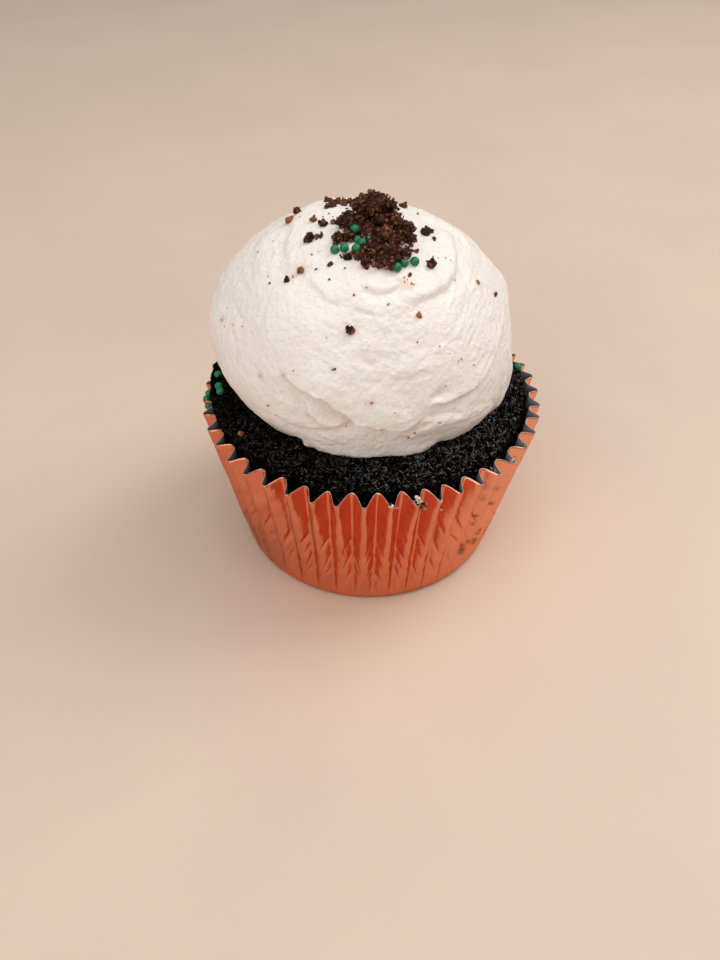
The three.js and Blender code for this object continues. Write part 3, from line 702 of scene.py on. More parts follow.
# and the ones behind, by bearing and elevation:
STROKES_BEHIND = [
    ([(-119, -17), (-98, -20), (-78, -21), (-56, -20)], 0.9, 2.4, -0.9, 2.4, 0.2, 0.3),
    ([(-28, -18), (-5, -20), (18, -20), (45, -20)], 1.3, 3.0, -1.3, 3.0, 0.2, 0.3),
    ([(95, 38), (135, 42), (175, 38)], 0.5, 4.0, 0.3, 3.0, 0.3, 0.9),
    ([(30, 4), (55, 12), (80, 10), (100, 2)], 0.8, 4.5, 0.5, 3.5, 0.4, 0.6),
    ([(110, 8), (135, 17), (160, 14), (180, 6)], 0.8, 4.5, 0.5, 3.5, 0.4, 0.6),
]
STROKE_END = 0.18  # share of a stroke over which it comes and goes
LINE_STEPS = 6  # between two corners of a line

# Small lumps, or pits where the height is negative, by pixel: height, and size across.
LUMPS = [
    (440.5, 394.3, -1.1, 2.0), (433, 398.5, -0.5, 1.8), (315.5, 393.5, 0.35, 1.0), (319, 395.5, 0.3, 0.8),
    (324.5, 397.2, 0.4, 1.2), (329.5, 401.5, 0.25, 0.8), (357, 423, 0.4, 1.4), (364, 423, 0.3, 1.0),
    (366.5, 363.5, -0.12, 1.4), (400, 437, 0.4, 2.2), (411.5, 438.5, 0.3, 1.6), (430, 417.5, 0.3, 1.6),
    (221.5, 319.5, -0.35, 1.4), (222, 288, 0.2, 2.0), (251, 285.5, 0.25, 2.2), (455, 238, 0.3, 3.0),
    (441.5, 349, 0.35, 1.6), (441, 236, 0.35, 3.0), (476.5, 284, 0.3, 3.0),
]

# Where the mound is lower or fuller all over: bearing, elevation, height, and reach in degrees.
SWELLS = [
    (-168, 15, -0.41, 10), (-177, 24, -0.16, 10), (170, 34, -0.13, 10), (159, 43, -0.74, 10),
    (143, 50, -0.68, 10), (124, 60, 0.35, 10), (23, 38, 0.16, 10), (11, 19, 0.75, 9), (9, 7, -0.2, 9),
    (-1, -2, -0.75, 9), (3, 3, -0.6, 5), (-5, -10, 0.35, 5), (-13, -15, -0.5, 6), (-23, -17, -0.75, 8),
    (-126, -16, -0.35, 3.5), (-119.5, -16.5, -0.6, 3), (-115.4, -19, 0.65, 1.8), (-111.5, -18.5, -0.25, 2.6),
    (-107, -18, -0.2, 2.5),
]

# Where the knife ran which way: bearing, how far round, elevation, slope, and how drawn out its ripples are.
KNIFE_RUNS = [
    (-150, 32, 10, -62, 2.2),
    (-118, 26, 22, -38, 1.7),
    (-90, 24, 10, 4, 1.5),
    (-55, 24, 12, 18, 1.9),
    (-25, 26, 12, 42, 2.0),
    (10, 30, 15, 52, 2.2),
    (60, 45, 15, 10, 2.5),
    (125, 45, 15, -15, 2.5),
    (-90, 90, 62, 0, 1.6),
    (90, 90, 62, 0, 2.0),
]
RIPPLE = 0.21
RIPPLE_SIZE = 1.25
BROAD_RIPPLE = 0.22
BROAD_RIPPLE_SIZE = 4.5

# Long parallel marks that climb the right side: height, degrees up for each degree round, and spacings.
COMB_HEIGHT = 0.04
COMB_CLIMB = 0.42
COMB_SPACING = (3.4, 2.1)


def mound_points(longitude, polar):
    """Points of the plain mound: `polar` runs from 0 at its top to pi at its foot."""
    above = np.cos(polar) >= 0
    height = np.where(above, MOUND_CROWN[0], MOUND_SKIRT[0])
    power = np.where(above, MOUND_CROWN[1], MOUND_SKIRT[1])
    level = np.sign(np.cos(polar)) * np.abs(np.cos(polar)) ** (2 / power)
    oval = 1 + MOUND_OVAL * np.cos(2 * (longitude - math.radians(MOUND_OVAL_BEARING)))
    radius = MOUND_RADIUS * oval * np.sin(polar)
    points = np.stack([radius * np.cos(longitude), radius * np.sin(longitude), height * level], axis=1)
    lean = np.array(Matrix.Rotation(math.radians(MOUND_LEAN), 3, "Y"))
    return points @ lean.T + np.array(MOUND_CENTRE)


def contact_polar(longitude):
    """The polar angle at which the mound comes down on the cake, found by halves."""
    above = np.full_like(longitude, math.radians(70))
    below = np.full_like(longitude, math.pi)
    for _ in range(CONTACT_HALVINGS):
        middle = (above + below) / 2
        spots = mound_points(longitude, middle)
        clear = spots[:, 2] > cake_top(spots[:, 0], spots[:, 1])
        above = np.where(clear, middle, above)
        below = np.where(clear, below, middle)
    return above


def smooth_line(corners):
    """A curve through the corners, kept on the ball of directions."""
    line = []
    ends = [corners[0], *corners, corners[-1]]
    for before, start, end, after in zip(ends, ends[1:], ends[2:], ends[3:]):
        for share in np.arange(LINE_STEPS) / LINE_STEPS:
            bend = (end - before) * share + (2 * before - 5 * start + 4 * end - after) * share**2
            line.append(start + (bend + (3 * start - before - 3 * end + after) * share**3) / 2)
    line = np.array([*line, corners[-1]])
    return line / np.linalg.norm(line, axis=1)[:, None]


def stroke_relief(line, stroke, directions, wander):
    """How far one stroke lifts or dips the icing in each direction from the mound's centre."""
    lift, above, dip, below, ragged, soft = stroke
    last = len(line) - 1
    nearest = np.full(len(directions), np.inf)
    signed = np.zeros(len(directions))
    share = np.zeros(len(directions))
    reach = 2.6 * max(above, below) / MOUND_RADIUS
    for i in range(last):
        run = line[i + 1] - line[i]
        near = np.nonzero(directions @ line[i] > 1 - (reach + np.linalg.norm(run)) ** 2 / 2)[0]
        off = directions[near] - line[i]
        along = np.clip(off @ run / (run @ run), 0, 1)
        off = off - along[:, None] * run
        distance = np.linalg.norm(off, axis=1) * MOUND_RADIUS
        side = np.where((np.cross(run, off) * directions[near]).sum(axis=1) >= 0, 1, -1)
        closer = distance < nearest[near]
        nearest[near[closer]] = distance[closer]
        signed[near[closer]] = (side * distance)[closer]
        share[near[closer]] = ((i + along) / last)[closer]
    ends = smooth_step(0, STROKE_END, np.minimum(share, 1 - share)) * (nearest < np.inf)
    signed = signed + ragged * wander
    lapped = lift * np.exp(-((signed / above) ** 2))
    dipped = -dip * np.exp(-((signed / below) ** 2))
    return ends * (dipped + (lapped - dipped) * smooth_step(-soft, soft, signed))


def combed_relief(bearing, elevation, wander):
    """Long parallel knife marks that climb the right side."""
    across = elevation - COMB_CLIMB * bearing + 5 * wander
    wide, narrow = (FULL_TURN * across / spacing for spacing in COMB_SPACING)
    marks = np.sin(wide) + 0.6 * np.sin(narrow + 1)
    zone = smooth_step(-62, -38, bearing) * smooth_step(55, 20, bearing)
    zone = zone * smooth_step(-16, -6, elevation) * smooth_step(46, 34, elevation)
    return COMB_HEIGHT * marks * zone


def knife_direction(bearing, elevation, slope):
    """The way a knife stroke runs over the mound's side, `slope` degrees from level, rising to the right."""
    turn = math.radians(bearing)
    rightwards = Vector((-math.sin(turn), math.cos(turn), 0))
    upwards = towards(bearing, elevation + 90)
    return math.cos(math.radians(slope)) * rightwards + math.sin(math.radians(slope)) * upwards


def whipped_relief(directions, bearing, elevation):
    """The small uneven ripples that the knife leaves, drawn out the way that it went."""
    places = directions * MOUND_RADIUS
    total = np.zeros(len(places))
    weights = np.zeros(len(places))
    for middle, reach, height, slope, longer in KNIFE_RUNS:
        away = np.abs((bearing - middle + 180) % 360 - 180)
        weight = np.exp(-((away / reach) ** 2) - ((elevation - height) / 34) ** 2)
        along = knife_direction(middle, height, slope)
        ripples = noise_over(drawn_out(places, along, longer), RIPPLE_SIZE, 3.0 + middle)
        ripples += 0.5 * noise_over(drawn_out(places, along, 1.4), RIPPLE_SIZE / 1.8, 8.0 + middle)
        total += weight * ripples
        weights += weight
    patchy = 0.75 + 0.5 * noise_over(places, 7.0, 30.0)
    broad = noise_over(places * (0.8, 0.8, 1.2), BROAD_RIPPLE_SIZE, 15.0)
    return RIPPLE * patchy * total / weights + BROAD_RIPPLE * broad


def frosting_relief(directions, plain):
    """All that the knife did, over the plain mound."""
    bearing = np.degrees(np.arctan2(directions[:, 1], directions[:, 0]))
    elevation = np.degrees(np.arcsin(np.clip(directions[:, 2], -1, 1)))
    wander = noise_over(directions * MOUND_RADIUS, 2.0, 21.0)
    relief = sum(
        MOUND_LUMPS * share * np.sin(directions @ np.array(run) + phase) for share, run, phase in MOUND_WAVES
    )
    for corners, *stroke in STROKES_SEEN:
        line = smooth_line([direction_seen(plain, *corner) for corner in corners])
        relief += stroke_relief(line, stroke, directions, wander)
    for corners, *stroke in STROKES_BEHIND:
        line = smooth_line([np.array(towards(*corner)) for corner in corners])
        relief += stroke_relief(line, stroke, directions, wander)
    for px, py, height, across in LUMPS:
        away = np.linalg.norm(directions - direction_seen(plain, px, py), axis=1) * MOUND_RADIUS
        relief += height * np.exp(-((away / (0.5 * across)) ** 2))
    for middle, up, height, reach in SWELLS:
        away = np.linalg.norm(directions - np.array(towards(middle, up)), axis=1)
        relief += height * np.exp(-((away / math.radians(reach)) ** 2))
    slow = noise_over(directions * MOUND_RADIUS, 9.0, 25.0)
    relief += combed_relief(bearing, elevation, slow)
    return relief + whipped_relief(directions, bearing, elevation)


def direction_seen(plain, px, py):
    """The direction from the mound's centre to where a pixel shows the plain mound."""
    spot, _ = seen(plain, px, py)
    if spot is None:  # just past its outline
        way = sight(px, py)
        spot = CAMERA_AT + way * (MOUND_CENTRE - CAMERA_AT).dot(way)
    return np.array((spot - MOUND_CENTRE).normalized())


def buttercream():
    polars = [math.pi * i / MOUND_ROWS for i in range(MOUND_ROWS + 1)]
    profile = [(MOUND_RADIUS * math.sin(polar), MOUND_RADIUS * math.cos(polar)) for polar in polars[1:-1]]
    profile = [(0, MOUND_RADIUS), *profile, (0, -MOUND_RADIUS)]
    mesh = mesh_from(turned(profile, MOUND_SECTORS, MOUND_STEPS), "buttercream")
    ball = points_of(mesh) / MOUND_RADIUS
    longitude = np.arctan2(ball[:, 1], ball[:, 0])
    row = np.round(np.arccos(np.clip(ball[:, 2], -1, 1)) / math.pi * MOUND_ROWS)
    foot_row = MOUND_ROWS - len(MOUND_UNDER) + 1
    contact = contact_polar(longitude)
    points = mound_points(longitude, contact * np.minimum(1, row / foot_row))
    directions = points - np.array(MOUND_CENTRE)
    directions = directions / np.linalg.norm(directions, axis=1)[:, None]
    set_points(mesh, points)
    points = points + directions * frosting_relief(directions, tree_of(mesh))[:, None]
    under = row >= foot_row
    shares = np.array(MOUND_UNDER)[np.clip(row - foot_row, 0, None).astype(int)]
    points[:, :2] *= np.where(under, shares, 1)[:, None]
    resting = cake_top(points[:, 0], points[:, 1]) - MOUND_SINK
    points[:, 2] = np.where(under, resting, np.maximum(points[:, 2], resting))
    set_points(mesh, points)
    return mesh


# ---- Materials ----


def shader(name):
    """A new material with its Principled BSDF and its node tree."""
    made = bpy.data.materials.new(name)
    made.use_nodes = True
    return made, made.node_tree.nodes["Principled BSDF"], made.node_tree


def feed(tree, node, inputs):
    """Gives a node's inputs their numbers and colours, or links other nodes' outputs to them."""
    for label, value in inputs.items():
        if isinstance(value, bpy.types.NodeSocket):
            tree.links.new(value, node.inputs[label])
        else:
            node.inputs[label].default_value = value


def added(tree, kind, inputs, output=0, **settings):
    """Adds a node with its settings and its inputs, and returns one of its outputs."""
    node = tree.nodes.new(kind)
    for setting, value in settings.items():
        setattr(node, setting, value)
    feed(tree, node, inputs)
    return node.outputs[output]


def maths(tree, operation, *values):
    return added(tree, "ShaderNodeMath", dict(enumerate(values)), operation=operation)


def mask_group(name, inputs):
    """A new group that gives a mask: its tree, its inputs' sockets and its output node."""
    group = bpy.data.node_groups.new(name, "ShaderNodeTree")
    for label, value in inputs.items():
        socket = group.interface.new_socket(label, in_out="INPUT", socket_type="NodeSocketFloat")
        socket.default_value = value
    group.interface.new_socket("Mask", in_out="OUTPUT", socket_type="NodeSocketFloat")
    return group, group.nodes.new("NodeGroupInput").outputs, group.nodes.new("NodeGroupOutput")


def lumps_over(group, place, size, inputs):
    """Noise over a place, with lumps of so many millimetres."""
    scale = maths(group, "DIVIDE", 1 / MM, size)
    return added(group, "ShaderNodeTexNoise", {"Vector": place, "Scale": scale, **inputs}, "Fac")


def mottle_group():
    """Uneven patches: a mask from 0 to 1 with lumps of a given size in millimetres, stretched upwards."""
    group, given, out = mask_group(
        "mottle", {"Size": 1.0, "Detail": 4.0, "Stretch": 1.0, "Low": 0.35, "High": 0.65}
    )
    place = added(group, "ShaderNodeTexCoord", {}, "Object")
    narrow = maths(group, "DIVIDE", 1, given["Stretch"])
    squash = added(group, "ShaderNodeCombineXYZ", {"X": 1, "Y": 1, "Z": narrow})
    stretched = added(group, "ShaderNodeVectorMath", {0: place, 1: squash}, operation="MULTIPLY")
    lumps = lumps_over(group, stretched, given["Size"], {"Detail": given["Detail"]})
    ramp = {"Value": lumps, "From Min": given["Low"], "From Max": given["High"]}
    feed(group, out, {"Mask": added(group, "ShaderNodeMapRange", ramp)})
    return group


def threads_group():
    """Thin winding lines: a mask of 1 along the lines, of a given size in millimetres, and 0 between."""
    group, given, out = mask_group("threads", {"Size": 1.0, "Width": 0.05})
    place = added(group, "ShaderNodeTexCoord", {}, "Object")
    lumps = lumps_over(group, place, given["Size"], {"Detail": 1, "Distortion": 0.8})
    off = maths(group, "ABSOLUTE", maths(group, "SUBTRACT", lumps, 0.5))
    ramp = {"Value": off, "From Max": given["Width"], "To Min": 1, "To Max": 0}
    feed(group, out, {"Mask": added(group, "ShaderNodeMapRange", ramp)})
    return group


MOTTLE = mottle_group()
THREADS = threads_group()


def mottle(tree, **values):
    inputs = {label.capitalize(): value for label, value in values.items()}
    return added(tree, "ShaderNodeGroup", inputs, "Mask", node_tree=MOTTLE)


def threads(tree, size, width):
    return added(tree, "ShaderNodeGroup", {"Size": size, "Width": width}, "Mask", node_tree=THREADS)


def both(tree, first, second):
    """One mask times another."""
    return maths(tree, "MULTIPLY", first, second)


def blend_colours(tree, mask, low, high):
    """One colour where the mask is 0 and the other where it is 1. The first may be a socket."""
    low = low if isinstance(low, bpy.types.NodeSocket) else (*low, 1)
    return added(tree, "ShaderNodeMix", {"Factor": mask, 6: low, 7: (*high, 1)}, 2, data_type="RGBA")


def blend_values(tree, mask, low, high):
    return added(tree, "ShaderNodeMapRange", {"Value": mask, "To Min": low, "To Max": high})


def bump(tree, height, distance, strength=1.0, under=None):
    """A bump `distance` millimetres high, over an earlier one if there is one."""
    inputs = {"Distance": distance * MM, "Strength": strength, "Height": height}
    if under:
        inputs["Normal"] = under
    return added(tree, "ShaderNodeBump", inputs, "Normal")


def attribute(tree, name):
    return added(tree, "ShaderNodeAttribute", {}, "Fac", attribute_name=name)


def foil_material():
    made, surface, tree = shader("copper_foil")
    patches = mottle(tree, size=7, detail=3)
    copper = blend_colours(tree, patches, (0.73, 0.228, 0.126), (0.78, 0.258, 0.15))
    # Painted highlight: paler copper towards the light at the right, and along the ridges there.
    with_painted_highlight = blend_colours(tree, attribute(tree, "pale"), copper, (0.95, 0.42, 0.27))
    # Painted shade: dark lines beside the deep folds and at the shaded left foot.
    with_painted_shade = blend_colours(tree, attribute(tree, "painted_shade"), with_painted_highlight, (0.11, 0.028, 0.017))
    smudged = blend_colours(tree, attribute(tree, "smudge"), with_painted_shade, (0.12, 0.05, 0.025))
    dents = mottle(tree, size=2.2, stretch=1.6, detail=2, low=0.2, high=0.8)
    grain = mottle(tree, size=0.5, detail=2)
    feed(tree, surface, {
        "Base Color": smudged,
        # Less metallic where the painted shade darkens it.
        "Metallic": blend_values(tree, attribute(tree, "painted_shade"), 0.87, 0.3),
        "Specular Tint": (0.95, 0.55, 0.4, 1),
        "Roughness": blend_values(tree, mottle(tree, size=1.6, stretch=2.5), 0.16, 0.28),
        "Normal": bump(tree, grain, 0.008, 0.5, under=bump(tree, dents, 0.1, 0.6)),
    })
    return made


def lining_material():
    made, surface, tree = shader("slate_lining")
    tint = blend_colours(tree, mottle(tree, size=3), (0.1, 0.105, 0.115), (0.16, 0.165, 0.18))
    grain = bump(tree, mottle(tree, size=0.4), 0.02)
    feed(tree, surface, {"Base Color": tint, "Roughness": 0.45, "Normal": grain})
    return made


def cut_edge_material():
    made, surface, tree = shader("cut_edge")
    tint = blend_colours(tree, mottle(tree, size=2), (0.45, 0.22, 0.16), (0.72, 0.55, 0.47))
    feed(tree, surface, {"Base Color": tint, "Roughness": 0.6})
    return made


def cake_material():
    made, surface, tree = shader("moist_chocolate_cake")
    dark = blend_colours(tree, mottle(tree, size=2.4), (0.0007, 0.0006, 0.0006), (0.0028, 0.0018, 0.0014))
    dashes = both(tree, threads(tree, size=1.0, width=0.045), mottle(tree, size=0.9, low=0.38, high=0.52))
    # Painted glints: grey dashes in the base colour along the crests, strongest where the gloss attribute is
    # high.
    painted_glint = both(tree, dashes, blend_values(tree, attribute(tree, "crest"), 0.35, 1.0))
    patchy = both(tree, painted_glint, attribute(tree, "gloss_and_painted_glint"))
    grain = mottle(tree, size=0.4, detail=3)
    feed(tree, surface, {
        "Base Color": blend_colours(tree, patchy, dark, (0.12, 0.115, 0.11)),
        "Coat Weight": patchy,
        "Coat Roughness": 0.25,
        "Coat IOR": 1.8,
        "Specular IOR Level": 0,
        "Normal": bump(tree, grain, 0.1, 0.8, under=bump(tree, dashes, 0.15, 0.8)),
    })
    return made


def strand_material():
    made, surface, tree = shader("cake_strand")
    dark = blend_colours(tree, mottle(tree, size=2.4), (0.0008, 0.0006, 0.0006), (0.0022, 0.0016, 0.0014))
    gloss_and_painted_sheen = attribute(tree, "gloss_and_painted_sheen")
    feed(tree, surface, {
        # Painted sheen: the glossy strands are lightened to grey in the base colour.
        "Base Color": blend_colours(tree, gloss_and_painted_sheen, dark, (0.1, 0.094, 0.088)),
        "Coat Weight": gloss_and_painted_sheen,
        "Coat Roughness": 0.3,
        "Coat IOR": 1.8,
        "Specular IOR Level": 0,
        "Normal": bump(tree, mottle(tree, size=0.3), 0.05),
    })
    return made


def buttercream_material():
    made, surface, tree = shader("buttercream")
    cream = blend_colours(tree, mottle(tree, size=9), (0.855, 0.805, 0.765), (0.885, 0.84, 0.8))
    stained = blend_colours(tree, attribute(tree, "stain"), cream, (0.3, 0.31, 0.38))
    # Real brown crumb stains, and painted shade under the knife's laps.
    browned = blend_colours(tree, attribute(tree, "crumb_stain_and_painted_shade"), stained, (0.62, 0.28, 0.09))
    ripples = mottle(tree, size=0.8, stretch=1.2, detail=1.5)
    grain = mottle(tree, size=0.4, detail=1)
    feed(tree, surface, {
        "Base Color": browned,
        "Roughness": 0.5,
        "Subsurface Weight": 0.4,
        "Subsurface Radius": (1.0, 0.7, 0.45),
        "Subsurface Scale": 0.7 * MM,
        "Normal": bump(tree, grain, 0.012, 0.6, under=bump(tree, ripples, 0.1, 0.9)),
    })
    return made


def crumb_material():
    made, surface, tree = shader("cake_crumb")
    dark = blend_colours(tree, mottle(tree, size=0.7), (0.0075, 0.002, 0.001), (0.074, 0.021, 0.0095))
    feed(tree, surface, {
        "Base Color": blend_colours(tree, attribute(tree, "tone"), dark, (0.5, 0.19, 0.082)),
        "Roughness": 0.4,
        "Specular IOR Level": 0.18,
        "Normal": bump(tree, mottle(tree, size=0.35, detail=3), 0.12),
    })
    return made


def sprinkle_material():
    made, surface, tree = shader("green_sugar")
    tint = blend_colours(tree, mottle(tree, size=1.1), (0.003, 0.15, 0.062), (0.006, 0.2, 0.088))
    grain = bump(tree, mottle(tree, size=0.5), 0.02)
    feed(tree, surface, {"Base Color": tint, "Roughness": 0.28, "Specular IOR Level": 0.45, "Normal": grain})
    return made


def fleck_material():
    made, surface, tree = shader("torn_fleck")
    pale = blend_colours(tree, mottle(tree, size=0.5), (0.5, 0.42, 0.38), (0.88, 0.82, 0.77))
    tint = blend_colours(tree, attribute(tree, "tone"), pale, (0.35, 0.2, 0.05))
    feed(tree, surface, {"Base Color": tint, "Roughness": 0.4})
    return made


def speck_material():
    made, surface, tree = shader("dark_speck")
    tint = blend_colours(tree, mottle(tree, size=0.6), (0.02, 0.02, 0.035), (0.07, 0.07, 0.1))
    feed(tree, surface, {"Base Color": tint, "Roughness": 0.6})
    return made


# ---- Crumbs, sprinkles and specks ----

HEAP_CENTRE = Vector((-0.1, -6.3, 71.3))
HEAP_REACH = Vector((6.9, 7.8, 6.1))
SPRINKLE_RADIUS = 0.8
SPRINKLE_SINK = 0.25


def ball_mesh(subdivisions):
    bm = bmesh.new()
    bmesh.ops.create_icosphere(bm, subdivisions=subdivisions, radius=1)
    return mesh_from(bm, "ball")


BALLS = {subdivisions: ball_mesh(subdivisions) for subdivisions in (1, 2, 3)}


class Grains:
    """Many small lumps gathered in one mesh, each with a tone from 0, dark, to 1, light."""

    def __init__(self, seed):
        self.pick = random.Random(seed)
        self.jitter = np.random.default_rng(seed)
        self.bm = bmesh.new()
        self.points = []
        self.tones = []

    def lump(self, centre, reach, subdivisions, roughness=0.0, tone=0.0, turn=None):
        """One lump, `reach` from its middle each way, turned at random unless told how."""
        self.bm.from_mesh(BALLS[subdivisions])
        turn = turn or Euler([self.pick.uniform(0, FULL_TURN) for _ in range(3)]).to_matrix()
        ball = points_of(BALLS[subdivisions]) * np.array(reach)
        ball *= 1 + roughness * self.jitter.uniform(-1, 1, (len(ball), 1))
        self.points.append(ball @ np.array(turn).T + np.array(centre))
        self.tones.append(np.full(len(ball), tone))

    def crumb(self, centre, across, tone, grain):
        """A craggy crumb: angular grains packed about a middle one."""
        pick = self.pick
        radius = across / 2
        small = radius < 1.2 * grain
        middle = radius if small else radius * 0.8
        self.lump(centre, [middle * pick.uniform(0.75, 1.1) for _ in range(3)], 2, 0.2, tone)
        if small:
            return
        for _ in range(round(1.7 * (radius / grain) ** 2)):
            off = Vector([pick.gauss(0, 1) for _ in range(3)]).normalized() * radius * pick.uniform(0.6, 0.9)
            size = grain * pick.choice((0.6, 0.8, 1.0, 1.0, 1.3))
            lighter = min(1, max(0, tone + pick.choice((-0.1, 0, 0, 0.05, 0.3))))
            self.lump(centre + off, [size * pick.uniform(0.7, 1.1) for _ in range(3)], 1, 0.3, lighter)

    def mesh(self, name, smooth):
        for face in self.bm.faces:
            face.smooth = smooth
        made = bpy.data.meshes.new(name)
        self.bm.to_mesh(made)
        self.bm.free()
        set_points(made, np.concatenate(self.points))
        add_attribute(made, "tone", np.concatenate(self.tones))
        return made


# The clumps of the heap that show: pixel, how much nearer than the heap's slope, half its width and half its
# height in millimetres, tone, and the size of its grains.
HEAP_CLUMPS = [
    (371, 206.5, 0.6, 2.2, 1.7, 0.0, 0.22), (375.5, 199.5, 0.0, 1.9, 1.1, 0.05, 0.32),
    (391, 205.5, 0.0, 1.5, 1.3, 0.05, 0.34), (357, 205, -0.2, 1.2, 0.8, 0.05, 0.34),
    (348, 213.5, -0.4, 1.0, 0.8, 0.05, 0.34), (341, 219.5, -0.4, 1.0, 0.8, 0.05, 0.36),
    (351, 221, -1.0, 1.2, 1.0, 0.0, 0.26), (361, 226, -0.8, 1.6, 1.2, 0.0, 0.28),
    (366.5, 229.5, 0.1, 0.7, 0.6, 0.25, 0.3), (363, 237, -0.8, 1.3, 0.9, 0.0, 0.3),
    (381, 220, 0.2, 1.5, 1.2, 0.06, 0.32), (393, 221, 0.0, 1.5, 1.1, 0.1, 0.34),
    (407, 228.5, 0.3, 1.4, 1.2, 0.1, 0.36), (411, 237.5, 0.1, 1.0, 1.0, 0.12, 0.36),
    (404, 236, -0.4, 1.1, 1.0, 0.0, 0.3), (383, 235, 0.6, 1.8, 1.3, 0.15, 0.4),
    (394, 240, 0.8, 1.5, 1.3, 0.18, 0.4), (375, 247, 0.4, 1.4, 1.2, 0.1, 0.38),
    (387, 250, 0.7, 1.6, 1.2, 0.15, 0.4), (373, 237, -0.2, 1.0, 0.9, 0.05, 0.3),
    (338, 237, 0.1, 1.2, 1.1, 0.1, 0.38), (348, 236, 0.0, 1.2, 1.0, 0.08, 0.36),
    (405.5, 252.5, 0.1, 1.1, 1.0, 0.05, 0.34), (347.5, 257.5, 0.2, 1.0, 0.9, 0.0, 0.3),
    (358.5, 256.5, 0.3, 1.3, 1.1, 0.1, 0.38), (365, 262.5, 0.4, 1.0, 1.0, 0.12, 0.38),
    (366.5, 268.5, 0.2, 0.6, 0.5, 0.15, 0.34), (379, 264, 0.2, 1.2, 0.9, 0.08, 0.36),
    (390, 264.5, 0.3, 1.4, 0.9, 0.12, 0.38), (385, 257.5, 0.5, 1.3, 0.9, 0.1, 0.4),
    (397, 258.5, 0.2, 1.0, 0.8, 0.1, 0.36), (362, 250.5, 0.0, 1.2, 1.0, 0.05, 0.3),
    (368.5, 256, 0.1, 1.2, 1.2, 0.05, 0.34), (396, 249.5, 0.2, 0.9, 0.8, 0.1, 0.34),
    (374, 194.5, 0.1, 1.0, 0.7, 0.1, 0.26), (382, 198.5, -0.1, 1.4, 0.8, 0.05, 0.28),
    (377.5, 255, 0.1, 1.1, 0.9, 0.0, 0.32),
]
# One more, which is laid on last, darker than the rest: painted shade over a gap in the heap.
HEAP_FILL = [(360.5, 215.5, -0.6, 1.3, 0.9, -0.1, 0.28)]
# More clumps close behind its top: middle, half width and half height.
HEAP_BEHIND = [
    ((0, -0.9, 76.0), 1.5, 1.0), ((-1.4, 0.6, 74.9), 1.5, 1.1), ((1.4, 0.6, 74.9), 1.5, 1.1),
    ((0, 1.6, 74.0), 1.6, 1.1), ((0.2, -2.2, 75.2), 1.5, 1.0),
]
HEAP_TOP = (-4.0, 76.3)  # y and z at the top of the slope that they lie on
HEAP_SLOPE = 0.66
HEAP_BACK = 14  # clumps round the back
BACK_GRAIN = 0.36
HEAP_INSET = 3.1  # how far its core lies in
HEAP_TAPER = 0.22  # how much narrower it is at the top
HEAP_LUMPS = (0.7, 1.3)  # height and size of the lumps of its core
GRAIN_COVER = 3.0  # how many times the grains would cover a clump


def heap_body(inset, lumps):
    """A lumpy body of the heap's shape, so much smaller all round."""
    bm = bmesh.new()
    bmesh.ops.create_icosphere(bm, subdivisions=4, radius=1)
    mesh = mesh_from(bm, "crumb_core")
    ball = points_of(mesh)
    points = ball * (np.array(HEAP_REACH) - inset)
    points[:, :2] *= (1 - HEAP_TAPER * np.clip(ball[:, 2], 0, 1))[:, None]
    points += np.array(HEAP_CENTRE)
    set_points(mesh, points)
    set_points(mesh, points + normals_of(mesh) * (lumps * noise_over(points, HEAP_LUMPS[1]))[:, None])
    return mesh


def clump(grains, centre, wide, high, tone, grain):
    """Crumbs stuck together: a middle at the darkest tone, painted shade where it shows between the grains,
    with angular grains all over it.
    """
    pick = grains.pick
    reach = Vector((wide, 0.5 * (wide + high), high))
    grains.lump(centre, reach * 0.78, 2, 0.12, 0.0, Matrix.Identity(3))
    for _ in range(round(GRAIN_COVER * wide * high / grain**2)):
        way = Vector([pick.gauss(0, 1) for _ in range(3)]).normalized()
        size = grain * pick.choice((0.4, 0.55, 0.7, 0.8, 0.95, 1.25))
        off = Vector([a * b for a, b in zip(way, reach)]) * pick.uniform(0.75, 1.05)
        lighter = max(0, tone + pick.choice((-0.2, -0.1, 0.0, 0.08, 0.2, 0.45)))
        shape = [size * pick.uniform(0.55, 1.25) for _ in range(3)]
        grains.lump(centre + off, shape, 1, 0.4, lighter)


def heap_spot(px, py, nearer):
    """Where a pixel's line of sight meets the heap's front slope, or so much nearer."""
    way = sight(px, py)
    over = CAMERA_AT.z - HEAP_TOP[1] - HEAP_SLOPE * (CAMERA_AT.y - HEAP_TOP[0])
    distance = over / (HEAP_SLOPE * way.y - way.z)
    return CAMERA_AT + way * (distance - nearer)


def crumb_heap():
    grains = Grains(seed=31)
    pick = grains.pick
    outer = tree_of(heap_body(0, 0))
    for px, py, nearer, *shape in HEAP_CLUMPS:
        clump(grains, heap_spot(px, py, nearer), *shape)
    for middle, wide, high in HEAP_BEHIND:
        clump(grains, Vector(middle), wide, high, 0.05, BACK_GRAIN)
    for _ in range(HEAP_BACK):
        way = towards(pick.uniform(-5, 185), pick.choice((-5, 15, 35)))
        spot = outer.ray_cast(HEAP_CENTRE, way)[0]
        wide = pick.uniform(1.3, 2.2)
        clump(grains, spot - way * wide * 0.8, wide, wide * 0.9, pick.uniform(0, 0.1), BACK_GRAIN)
    for px, py, nearer, *shape in HEAP_FILL:
        clump(grains, heap_spot(px, py, nearer), *shape)
    # The core is at the darkest tone: painted shade in the gaps between the clumps.
    core = heap_body(HEAP_INSET, HEAP_LUMPS[0])
    grains.bm.from_mesh(core)
    grains.points.append(points_of(core))
    grains.tones.append(np.zeros(len(core.vertices)))
    return grains.mesh("crumb_pile", smooth=False)


